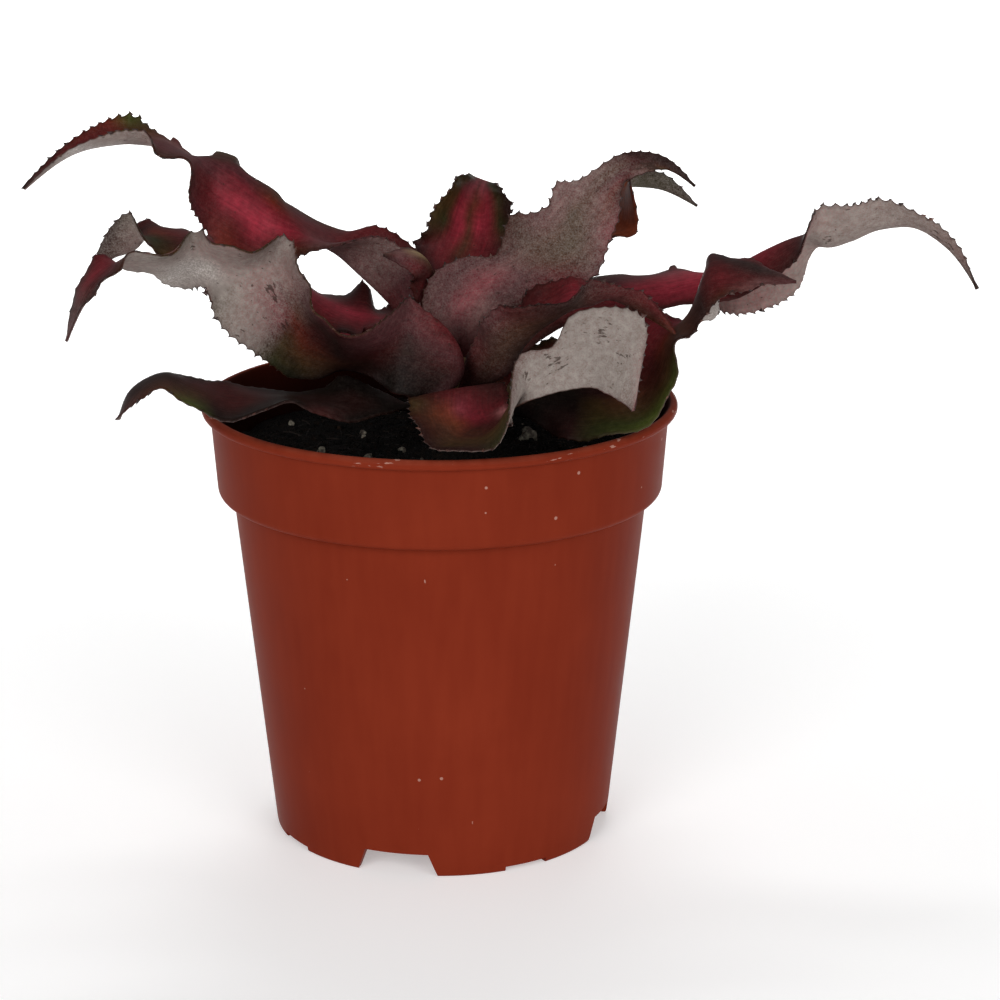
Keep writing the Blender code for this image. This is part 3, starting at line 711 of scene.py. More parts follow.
# The larger grains that lie in the open: x and y in millimetres from the pot's axis, and size.
OPEN_GRAINS = (
    (-38.0, 1.5, 1.6), (-22.7, -5.3, 1.5), (-13.7, -9.9, 2.0), (-7.3, -4.6, 1.4),
    (27.5, -6.9, 1.3), (17.0, 4.6, 3.4), (30.0, 20.0, 2.0), (-20.0, 24.0, 2.2),
)
for number, (x, y, size) in enumerate(OPEN_GRAINS):
    mesh = perlite_shape.data.copy()
    height = peat_height(x * MM, y * MM) + 0.2 * size * MM
    where = Matrix.Translation(POT_AXIS + Vector((x * MM, y * MM, height)))
    turn = Matrix.Rotation(number * 1.7, 4, "X")
    mesh.transform(where @ turn @ Matrix.Scale(size * MM, 4))
    mesh.materials.append(perlite_finish)
    grain = link_new(f"open_grain_{number}", mesh)
    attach(grain, "root")
for helper in (skin, fibre_skin, crumb_shape, perlite_shape, fibre_shape):
    bpy.data.objects.remove(helper)


# ---------------------------------------------------------------------------------------------
# Stem. A short, thick stump that stands in the peat and carries the leaves in close tiers. Its
# bark is corky and ringed by the dry brown scales of leaves that have gone.
# ---------------------------------------------------------------------------------------------

stem_low, stem_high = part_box("stem")
STEM_AXIS = Vector(((stem_low.x + stem_high.x) / 2, (stem_low.y + stem_high.y) / 2, 0.0))
STEM_RADIUS = (stem_high.x - stem_low.x) / 2
STEM_RING = 1.9 * MM
STEM_CORK = 1.5 * MM
STEM_RELIEF = 0.2 * MM
STEM_INSET = 0.35 * MM
STEM_ROWS = 60
STEM_SIDES = 72


def stem_radius(height, angle):
    """Radius of the stump, with a rim for every old leaf and grooves round it."""
    share = (height - stem_low.z) / (stem_high.z - stem_low.z)
    foot = min(1.0, 0.93 + 0.35 * share)
    crown = min(1.0, 1.6 * (1 - share) ** 0.5 + 0.35)
    ring = abs(math.sin(math.pi * height / STEM_RING + 0.6 * math.sin(2 * angle)))
    spot = (math.cos(angle) * STEM_RADIUS, math.sin(angle) * STEM_RADIUS, height)
    cork = noise_at(spot, STEM_CORK, 8)
    return STEM_RADIUS * foot * crown - STEM_INSET + STEM_RELIEF * (ring + cork)


def corky_bark():
    """Corky stem bark: tan and brown, dull, with darker rings under the old scales."""
    material, tree, shader, _, cork = mottled(
        "corky_stem_bark", 1.8 * MM, 5.0, stretch=3.0, Roughness=0.85,
        stops=[(0.3, "#2A1A10"), (0.5, "#5F452B"), (0.75, "#93754C")],
    )
    bump = add_node(
        tree, "ShaderNodeBump", {"Height": cork, "Strength": 0.8, "Distance": 0.3 * MM}
    ).outputs[0]
    tree.links.new(bump, shader.inputs["Normal"])
    return material


def ringed_stump(name):
    built = bmesh.new()
    rings = []
    for i in range(STEM_ROWS + 1):
        height = between(stem_high.z, stem_low.z, i / STEM_ROWS)
        ring = []
        for k in range(STEM_SIDES):
            angle = 2 * math.pi * k / STEM_SIDES
            radius = stem_radius(height, angle)
            spot = (radius * math.cos(angle), radius * math.sin(angle), height)
            ring.append(built.verts.new(STEM_AXIS + Vector(spot)))
        rings.append(ring)
    join_rings(built, rings)
    built.faces.new(rings[0])
    built.faces.new(rings[-1][::-1])
    return linked(built, name)


stump = ringed_stump("stem_stump")
stump.data.materials.append(corky_bark())
hand_over(stump, "stem")


# ---------------------------------------------------------------------------------------------
# Leaves. Sixteen stiff, fleshy blades. Each one is drawn by stations along its midrib, from the
# stem to the tip: the midrib, then the left and the right margin, in millimetres from the pot's
# axis. Left and right are seen from the stem with the upper face up.
# ---------------------------------------------------------------------------------------------

LEAVES = {
    "leaf_upper_left": [
        ((-4, 0.5, 89), (-4, -1, 89), (-3.5, 2.5, 89)),
        ((-6.5, 8, 98.5), (-4, 4.5, 103.5), (0, 10, 101.5)),
        ((-16, 9.5, 108.5), (-8, 9, 113), (-6.5, 13, 113)),
        ((-19.5, 11, 111.5), (-13, 5.5, 115.5), (-12, 15, 115.5)),
        ((-23.5, 12, 114), (-21.5, 3, 114), (-18, 19.5, 113.5)),
        ((-28.5, 13, 117.5), (-27.5, 4.5, 112), (-29.5, 22.5, 118.5)),
        ((-33, 13, 121.5), (-35, 10.5, 109.5), (-31.5, 23, 119.2)),
        ((-37, 13, 124.5), (-41, 10, 112.5), (-37.5, 23.5, 122.4)),
        ((-41, 13, 127), (-44.5, 10.5, 116), (-39, 23, 125.2)),
        ((-44, 13, 128.5), (-47, 6, 123), (-43.5, 22.5, 126.7)),
        ((-47, 13, 129.5), (-47, 5, 129.5), (-46.5, 21, 127.5)),
        ((-53, 12, 132), (-53.5, 5, 132), (-52.5, 19, 132.5)),
        ((-56, 12, 132.5), (-55, 6, 135.5), (-55.5, 19, 134)),
        ((-60.5, 11, 133), (-59, 5.5, 136), (-59, 16, 137)),
        ((-69, 9, 131.5), (-68.5, 5.5, 133), (-68.5, 12, 134)),
        ((-78.5, 6, 125), (-78.5, 5.5, 125), (-79, 6, 125)),
    ],
    "leaf_upright_back": [
        ((2.5, 2.5, 94.5), (0.5, 2.5, 94.5), (4.5, 2.5, 94.5)),
        ((3.5, 12, 101.5), (0.5, 12, 101.5), (6.5, 11.5, 101.5)),
        ((4, 16, 108.5), (-4.5, 15, 110), (12.5, 13.5, 109.5)),
        ((5.5, 20, 112.5), (-2.5, 16, 114.5), (14, 17.5, 113.5)),
        ((7.5, 30, 119), (3, 23.5, 122.5), (13, 23.5, 120)),
        ((8.5, 37, 120), (6, 30.5, 123), (11.5, 29.5, 121)),
        ((9.5, 46, 118), (7, 51, 117.5), (11.5, 51, 116.5)),
        ((10.5, 58, 112.5), (10.5, 58, 112.5), (11, 58, 112.5)),
    ],
    "leaf_upright_right": [
        ((4.5, -2, 94), (6.5, -2, 94), (2.5, -2, 94)),
        ((4, -4, 102), (9.5, -4, 101.5), (-3, -4, 103)),
        ((7, -2, 107), (14, -3, 104), (-1, -1.5, 109.5)),
        ((11, -1, 109.5), (17.5, -2.5, 104.5), (4.5, 0, 112.5)),
        ((15, 0, 111), (22, -1, 107), (11, 0.5, 113)),
        ((18, 1, 113), (25.5, -0.5, 107.5), (13.5, 2.5, 119.5)),
        ((22.5, 3, 114.5), (30, 1.5, 109.5), (17.5, 4, 120)),
        ((25.5, 4, 117.5), (32, 3, 114.5), (21, 5, 121.5)),
        ((28, 5, 120.5), (34, 4.5, 119.5), (22.5, 6, 125.5)),
        ((30.5, 6, 124), (34.5, 6, 124), (26.5, 6.5, 126)),
        ((37, 7, 128.5), (37.5, 6.5, 127), (35.5, 7.5, 131)),
        ((42, 8, 129), (42.5, 8, 128), (42, 8.5, 130.5)),
        ((49, 9, 124.5), (49, 9.5, 124.5), (49, 8.5, 124.5)),
    ],
    "leaf_right_back": [
        ((8, 3.5, 91), (7, 5, 91), (9, 2, 91)),
        ((13, 13, 102), (9, 16, 102.5), (16, 9, 102.5)),
        ((23.5, 19, 107.5), (20.5, 26, 110), (27.5, 12, 107)),
        ((32, 19, 113.5), (30, 27.5, 115.5), (33.5, 10, 114)),
        ((34, 19, 117), (31.5, 27, 118), (37.5, 11.5, 115)),
        ((36, 19, 122.5), (34, 25, 126), (37, 12, 125.5)),
        ((39.5, 18, 123), (41, 23.5, 124), (38.5, 13.5, 127)),
        ((43.5, 17, 122.5), (45, 21, 123), (43.5, 14.5, 125.5)),
        ((50, 15, 119.5), (50, 15.5, 119.5), (50, 14.5, 119.5)),
    ],
    "leaf_long_right": [
        ((9, 0, 87.5), (9, 2, 87.5), (9, -2, 87.5)),
        ((19, 6, 100.5), (17, 12, 99.5), (22.5, 1, 98.5)),
        ((30.5, 10, 103.5), (31, 19, 104.5), (30, 2, 100)),
        ((40.5, 11, 105), (41.5, 20.5, 104.5), (40.5, 2, 102)),
        ((48.5, 12, 106), (49, 22, 105), (47.5, 2.5, 103)),
        ((54.5, 12, 107), (54, 19, 99), (53.5, 2, 103.5)),
        ((59, 12, 108.5), (58.5, 14, 98.5), (58, 2.5, 104.5)),
        ((67.5, 12, 112.5), (69.5, 14, 103), (66, 2.5, 110)),
        ((70.5, 12, 113.5), (71.5, 17.5, 106), (69, 2.5, 113.5)),
        ((72, 12, 113.5), (72.5, 19.5, 108.5), (70.5, 4, 117.5)),
        ((75, 12, 112.5), (76, 21, 112.5), (72.5, 7.5, 120)),
        ((79.5, 11, 114), (80.5, 19.5, 114), (78.5, 5.5, 121)),
        ((85, 11, 116), (85.5, 18.5, 116), (84, 6, 122)),
        ((91, 10, 116.5), (92.5, 16, 116.5), (90.5, 5.5, 120)),
        ((97.5, 8, 113), (99, 11.5, 113), (98, 5, 115)),
        ((103.5, 5, 105), (103.5, 5.5, 105), (103, 4.5, 105)),
    ],
    "leaf_low_right": [
        ((8, -3, 82.5), (9, -1.5, 82.5), (7, -5, 82.5)),
        ((15.5, -15, 90), (16, -8.5, 92.5), (16.5, -20.5, 86.5)),
        ((23.5, -22, 91), (22.5, -13, 94.5), (23, -29.5, 85)),
        ((30.5, -24, 91.5), (29, -16, 98), (31, -33, 86.5)),
        ((37, -23, 93.5), (34, -15, 101.5), (39, -32, 89.5)),
        ((40, -21, 97.5), (37.5, -11, 104), (42.5, -30, 95.5)),
        ((42, -19, 101), (42.5, -11, 103.5), (43, -28, 102)),
        ((46.5, -16, 105), (51.5, -9, 102.5), (47, -25, 104.5)),
        ((50.5, -15, 113), (51, -6, 114), (50, -23, 109)),
        ((55, -16, 113.5), (55.5, -9.5, 114.5), (55, -22, 111)),
        ((65.5, -20, 112), (65.5, -19.5, 112), (65.5, -20.5, 112)),
    ],
    "leaf_front": [
        ((2.5, -6.5, 82.5), (4.5, -6.5, 82.5), (0, -6.5, 82.5)),
        ((2.5, -15, 86), (7.5, -15, 87), (-2, -15, 86)),
        ((3.5, -23, 92.5), (11.5, -24.5, 94), (-5, -23.5, 91.5)),
        ((3.5, -32, 90), (12, -34, 93), (-4.5, -36, 90.5)),
        ((6, -40, 89), (12, -45.5, 93), (0, -46.5, 88)),
        ((9.5, -44, 90.5), (12.5, -51.5, 93.5), (6.5, -51.5, 89)),
        ((12, -46, 94.5), (13, -38.5, 92), (11, -53.5, 91.5)),
        ((14, -46, 97.5), (14, -46.5, 96), (12, -53.5, 98)),
        ((16.5, -46, 101), (17.5, -47, 97.5), (14, -45, 104)),
        ((21, -45, 103.5), (21.5, -46.5, 98.5), (20, -44.5, 106)),
        ((25, -44, 105.5), (26, -46, 99), (23.5, -42.5, 111)),
        ((33, -40, 102.5), (31, -41.5, 96), (36, -38.5, 109.5)),
        ((35, -37, 95), (34, -37.5, 93), (35.5, -37, 96)),
        ((34.5, -36, 92), (34.5, -36, 92), (35, -36, 92)),
    ],
    "leaf_inner_right": [
        ((5.5, -5.5, 88.5), (7.5, -4.5, 88.5), (3.5, -6.5, 88.5)),
        ((11.5, -13, 93.5), (14.5, -6, 96.5), (6.5, -12.5, 99.5)),
        ((14, -15, 98), (16, -6.5, 100.5), (8.5, -17.5, 104.5)),
        ((17.5, -17, 102), (15.5, -9.5, 106.5), (12, -21.5, 108)),
        ((21, -18, 105), (19.5, -10.5, 109.5), (17, -25.5, 108.5)),
        ((24.5, -19, 107.5), (24.5, -12, 111), (23, -26.5, 110)),
        ((27.5, -20, 108), (28.5, -12.5, 109.5), (27, -25.5, 113.5)),
        ((31, -20, 109), (32, -13, 110), (31.5, -26, 112.5)),
        ((35.5, -21, 107.5), (38, -16, 108.5), (36, -24.5, 111.5)),
        ((43, -27, 104), (43, -27, 104), (43, -27, 104)),
    ],
    "leaf_long_left": [
        ((-1, -5.5, 88.5), (1, -6.5, 88.5), (-3, -4.5, 88.5)),
        ((3.5, -16, 95), (2.5, -14.5, 101), (0.5, -17.5, 90.5)),
        ((-2, -17, 97), (-2.5, -15, 105.5), (-4.5, -18.5, 90.5)),
        ((-6.5, -17, 98.5), (-6, -15, 108), (-9, -19, 91.5)),
        ((-12, -17, 98.5), (-11, -24.5, 105), (-13.5, -9, 92.5)),
        ((-18, -17, 98.5), (-17.5, -25.5, 104), (-19.5, -9, 92.5)),
        ((-23.5, -17, 101.5), (-22, -25.5, 107.5), (-27, -13, 92.5)),
        ((-28.5, -19, 107.5), (-25, -25, 115.5), (-32.5, -21.5, 99)),
        ((-33, -21, 112.5), (-28.5, -19, 120.5), (-38.5, -23.5, 104)),
        ((-37.5, -22, 115), (-34, -29, 120), (-41.5, -23.5, 109)),
        ((-42, -23, 117.5), (-40, -30.5, 122), (-42.5, -24, 112.5)),
        ((-45, -24, 118.5), (-43.5, -23, 122.5), (-45.5, -18.5, 111.5)),
        ((-48.5, -25, 117.5), (-47, -32, 121), (-50, -19.5, 112)),
        ((-53, -26, 117.5), (-52, -33, 120.5), (-53.5, -19.5, 114.5)),
        ((-57, -26, 117.5), (-55.5, -32.5, 120), (-58.5, -19.5, 115.5)),
        ((-60, -26, 116), (-57.5, -32, 117.5), (-62.5, -20, 117.5)),
        ((-63.3, -26, 113), (-61.2, -29.5, 113.5), (-65.3, -21.5, 112.2)),
        ((-65.8, -25, 108), (-64.8, -27, 109), (-67, -22.5, 108.5)),
        ((-68, -24, 102.5), (-68, -24.5, 102.5), (-68, -23.5, 102.5)),
    ],
    "leaf_middle_left": [
        ((-1.5, 5, 88), (-3, 4, 88), (0, 6, 88)),
        ((-8, 14, 96.5), (-13.5, 9, 96.5), (-9, 21, 98.5)),
        ((-12.5, 18, 96.5), (-14.5, 10, 96), (-13.5, 27, 97)),
        ((-15, 20, 96.5), (-16, 11, 95), (-15, 27.5, 101.5)),
        ((-19, 22, 97), (-19.5, 13, 95), (-19, 31.5, 98.5)),
        ((-23, 24, 98.5), (-23.5, 14.5, 95), (-23.5, 34, 97.5)),
        ((-35, 27, 106.5), (-36.5, 17, 106.5), (-35, 37, 106)),
        ((-42, 28, 109), (-42.5, 18.5, 109), (-42.5, 37.5, 108)),
        ((-54.5, 28, 111.5), (-55, 20, 109.5), (-55, 36.5, 111.5)),
        ((-57.5, 28, 111.5), (-57.5, 20, 112), (-58.5, 35.5, 113)),
        ((-60, 27, 109.5), (-60, 25.5, 116), (-62.5, 33.5, 109.5)),
        ((-64, 26, 108), (-64.5, 27, 113.5), (-65, 31.5, 108)),
        ((-68.5, 25, 105.5), (-68.5, 24.5, 105.5), (-68.5, 25.5, 105.5)),
    ],
    "leaf_low_left": [
        ((-3, -3, 82.5), (-2, -5, 82.5), (-4, -1, 82.5)),
        ((-8, -19, 89), (-8, -24, 89), (-8, -14.5, 88.5)),
        ((-16, -25, 91), (-16, -34.5, 90), (-18, -16, 93.5)),
        ((-21.5, -28, 92), (-22, -37.5, 92), (-22, -18.5, 91.5)),
        ((-26, -30, 93), (-26, -39.5, 95), (-26.5, -20.5, 91.5)),
        ((-38, -36, 94), (-37.5, -45.5, 93), (-38.5, -26.5, 95)),
        ((-44, -38, 96.5), (-43.5, -46.5, 96), (-44, -29.5, 96.5)),
        ((-49.5, -39, 99), (-49, -46, 99), (-50, -32, 98.5)),
        ((-54, -39, 97), (-52.5, -44, 97), (-55, -34, 96)),
        ((-57.5, -38, 91.5), (-58, -38.5, 91.5), (-57.5, -37.5, 91.5)),
    ],
    "leaf_heart": [
        ((-0.5, -1, 94.5), (0, -3, 94.5), (-1, 1, 94.5)),
        ((0, 3.5, 102.5), (-3, 0.5, 99.5), (4.5, 5, 102.5)),
        ((-1, 2.5, 108), (-5, -2, 107), (-5.5, 6.5, 109)),
        ((-3, -1, 112), (-5, -4.5, 110.5), (-5, 2.5, 113.5)),
        ((-10.5, -4, 114), (-10.5, -4.5, 114), (-10.5, -3.5, 114)),
    ],
    "leaf_rear_left": [
        ((-2.5, 4, 82.5), (-4, 2.5, 82.5), (-1, 6, 82.5)),
        ((-9, 14, 87), (-12, 11, 88.5), (-5.5, 16, 88.5)),
        ((-17, 24, 89.5), (-23, 19, 93), (-10, 29, 89.5)),
        ((-24, 34, 89.5), (-31, 29.5, 88), (-18, 38.5, 93.5)),
        ((-30, 44, 86), (-35, 42.5, 88.5), (-24.5, 46.5, 84.5)),
        ((-35, 53, 79), (-35.5, 53, 79), (-35, 53, 79)),
    ],
    "leaf_rear_low": [
        ((2.5, 6.5, 82.5), (0, 6.5, 82.5), (4.5, 6.5, 82.5)),
        ((2, 17, 87.5), (-2, 16.5, 89), (6, 16.5, 89)),
        ((3, 31, 91), (-6.5, 32.5, 91), (11.5, 29.5, 95)),
        ((6, 45, 90), (-1.5, 47.5, 94.5), (14.5, 43, 87.5)),
        ((8, 57, 85), (2, 57, 84), (13.5, 57.5, 87)),
        ((9, 67, 76), (8.5, 67, 76), (9.5, 67, 76)),
    ],
    "leaf_rear_right": [
        ((5.5, 5.5, 89), (3.5, 6.5, 89), (7.5, 4.5, 89)),
        ((10, 18, 94), (4, 20, 96), (15.5, 15, 96)),
        ((16, 30, 97), (8, 33.5, 100), (24, 26.5, 96)),
        ((21, 42, 96), (13.5, 45, 94), (28, 40, 100)),
        ((26, 52, 91), (21.5, 55.5, 93), (31.5, 49.5, 91)),
        ((30, 61, 82), (29.5, 61, 82), (30.5, 61, 82)),
    ],
    "leaf_rear_side": [
        ((8, 3, 82.5), (7, 5, 82.5), (9, 1.5, 82.5)),
        ((16, 10, 86), (12, 14.5, 87.5), (19.5, 5.5, 87.5)),
        ((25, 17, 88), (20, 22.5, 90.5), (30, 11, 89.5)),
        ((33, 24, 88.5), (28.5, 29, 89.5), (38, 19.5, 91)),
        ((39, 31, 85), (36, 34, 86.5), (42.5, 28.5, 85)),
        ((42, 37, 79), (41.5, 37, 79), (42.5, 37, 79)),
    ],
}
LEAF_ROW = 0.33 * MM
LEAF_COLUMNS = 27
MIDRIB_THICKNESS = 1.1 * MM
MARGIN_THICKNESS = 0.5 * MM
MARGIN_ROUND = 0.18 * MM
# The share of its thickness that a leaf has lost at its tip.
TIP_THINNING = 0.45
RIPPLE_LENGTH = 8.5 * MM
RIPPLE_HEIGHT = 0.45 * MM
BUCKLE_SIZE = 7.0 * MM
BUCKLE_HEIGHT = 0.3 * MM
# The margins ripple fully where a leaf is wide and well away from the stem.
FLAT_WIDTH = 2.0 * MM
RIPPLED_WIDTH = 12.0 * MM
FLAT_BASE = 12.0 * MM
TOOTH_SPACING = 2.1 * MM
TOOTH_UNEVENNESS = 0.45
TOOTH_HEIGHT = 0.5 * MM
# The shares of the length over which the teeth grow from nothing, at the stem and at the tip.
FIRST_TEETH = (0.05, 0.25)
LAST_TEETH = (1.0, 0.96)
# A lobe lifts the leaf from this place across it outwards.
LOBE_FROM = 0.35
# How far, as a share of the leaf, its colours wander along it and across it, and in what size.
WANDER_ALONG = (0.03, 9.0 * MM)
WANDER_ACROSS = (0.14, 5.0 * MM)
# Places along and across a leaf at which its curve and its colours are sampled.
CURVE_SAMPLES = 400
COLOUR_COLUMNS = 9

# How strongly a leaf's margins ripple, beside the usual.
RIPPLES = {
    "leaf_long_right": 0.25, "leaf_upper_left": 0.4, "leaf_front": 0.6, "leaf_low_left": 0.3,
}

# How tall the teeth are beside the usual: (leaf, side) and (share of the length, factor).
MARGIN_TEETH = {
    ("leaf_upright_back", -1): ((0.0, 2.0),), ("leaf_upright_back", 1): ((0.0, 2.0),),
    ("leaf_upper_left", -1): ((0.0, 1.3),),
    ("leaf_upper_left", 1): ((0.3, 1.3), (0.38, 0.1), (0.62, 0.1), (0.7, 0.7), (0.78, 1.9)),
    ("leaf_long_right", -1): ((0.4, 0.3), (0.48, 1.0), (0.64, 1.0), (0.7, 0.1)),
    ("leaf_long_right", 1): ((0.55, 0.2), (0.66, 1.6)),
    ("leaf_front", -1): ((0.5, 0.7), (0.6, 0.15)),
    ("leaf_front", 1): ((0.6, 1.1), (0.68, 0.4), (0.8, 0.4), (0.87, 1.4)),
    ("leaf_long_left", 1): ((0.1, 0.2), (0.43, 0.3), (0.5, 1.0)),
    ("leaf_low_left", -1): ((0.5, 0.5), (0.7, 1.1)),
    ("leaf_low_right", 1): ((0.5, 0.5), (0.6, 1.0)),
}

# Lobes, where a margin stands up: leaf, side (-1 left, 1 right), share of the length, reach along
# the leaf and height, both in millimetres.
LOBES = (
    ("leaf_upper_left", 1, 0.60, 2.1, 2.3), ("leaf_upper_left", 1, 0.695, 0.8, 1.0),
    ("leaf_long_right", -1, 0.405, 0.8, 0.7),
)

# Scars, where the skin is scratched brown: leaf, face (0 upper, 1 under), share of the length,
# place across (-1 left margin, 1 right margin), radius in millimetres and depth, where 1 leaves
# a few scratches and 3 a whole brown spot.
SCARS = (
    ("leaf_front", 1, 0.80, 0.35, 2.2, 1.1), ("leaf_front", 1, 0.695, 0.0, 2.0, 1.1),
    ("leaf_front", 1, 0.86, 0.1, 1.2, 1.1), ("leaf_front", 1, 0.63, 0.3, 0.8, 1.5),
    ("leaf_long_left", 1, 0.535, -0.08, 1.0, 2.4), ("leaf_long_left", 1, 0.515, 0.02, 0.7, 2.0),
    ("leaf_long_left", 1, 0.475, 0.33, 0.8, 2.0), ("leaf_long_left", 1, 0.235, 0.0, 0.9, 1.8),
    ("leaf_long_left", 1, 0.69, -0.3, 1.0, 1.5), ("leaf_long_left", 1, 0.62, -0.85, 0.6, 2.4),
    ("leaf_long_left", 1, 0.57, -0.9, 0.8, 1.6), ("leaf_long_left", 1, 0.74, -0.7, 1.4, 1.2),
    ("leaf_long_right", 1, 0.685, 0.3, 1.2, 1.3), ("leaf_long_right", 1, 0.90, 0.2, 3.0, 1.1),
    ("leaf_long_right", 1, 0.97, 0.2, 3.0, 1.5), ("leaf_upright_right", 1, 0.84, -0.4, 2.5, 1.4),
)

# Colours of the flesh under the scurf. The two darkest, near black, are painted shade: the darkest
# stands only for deep shade near the stem and under other leaves, and the other is partly dark
# flesh and partly painted shade.
PIGMENTS_AND_SHADES = {
    "crimson": "#8F2635", "rose": "#7A3038", "cherry": "#6C1A24", "wine": "#521519",
    "maroon": "#3B1010", "plum": "#4C2226", "mauve": "#67403F", "blush": "#99605F",
    "rust": "#5A1E12", "bronze": "#48281A", "brown": "#38190F", "olive": "#3C2C14",
    "moss": "#272811", "leaf": "#3E4719", "dusk": "#220D0B", "night": "#0D0705",
    "tan": "#86704F", "silver": "#CCC5C1", "clay": "#6E3018",
}

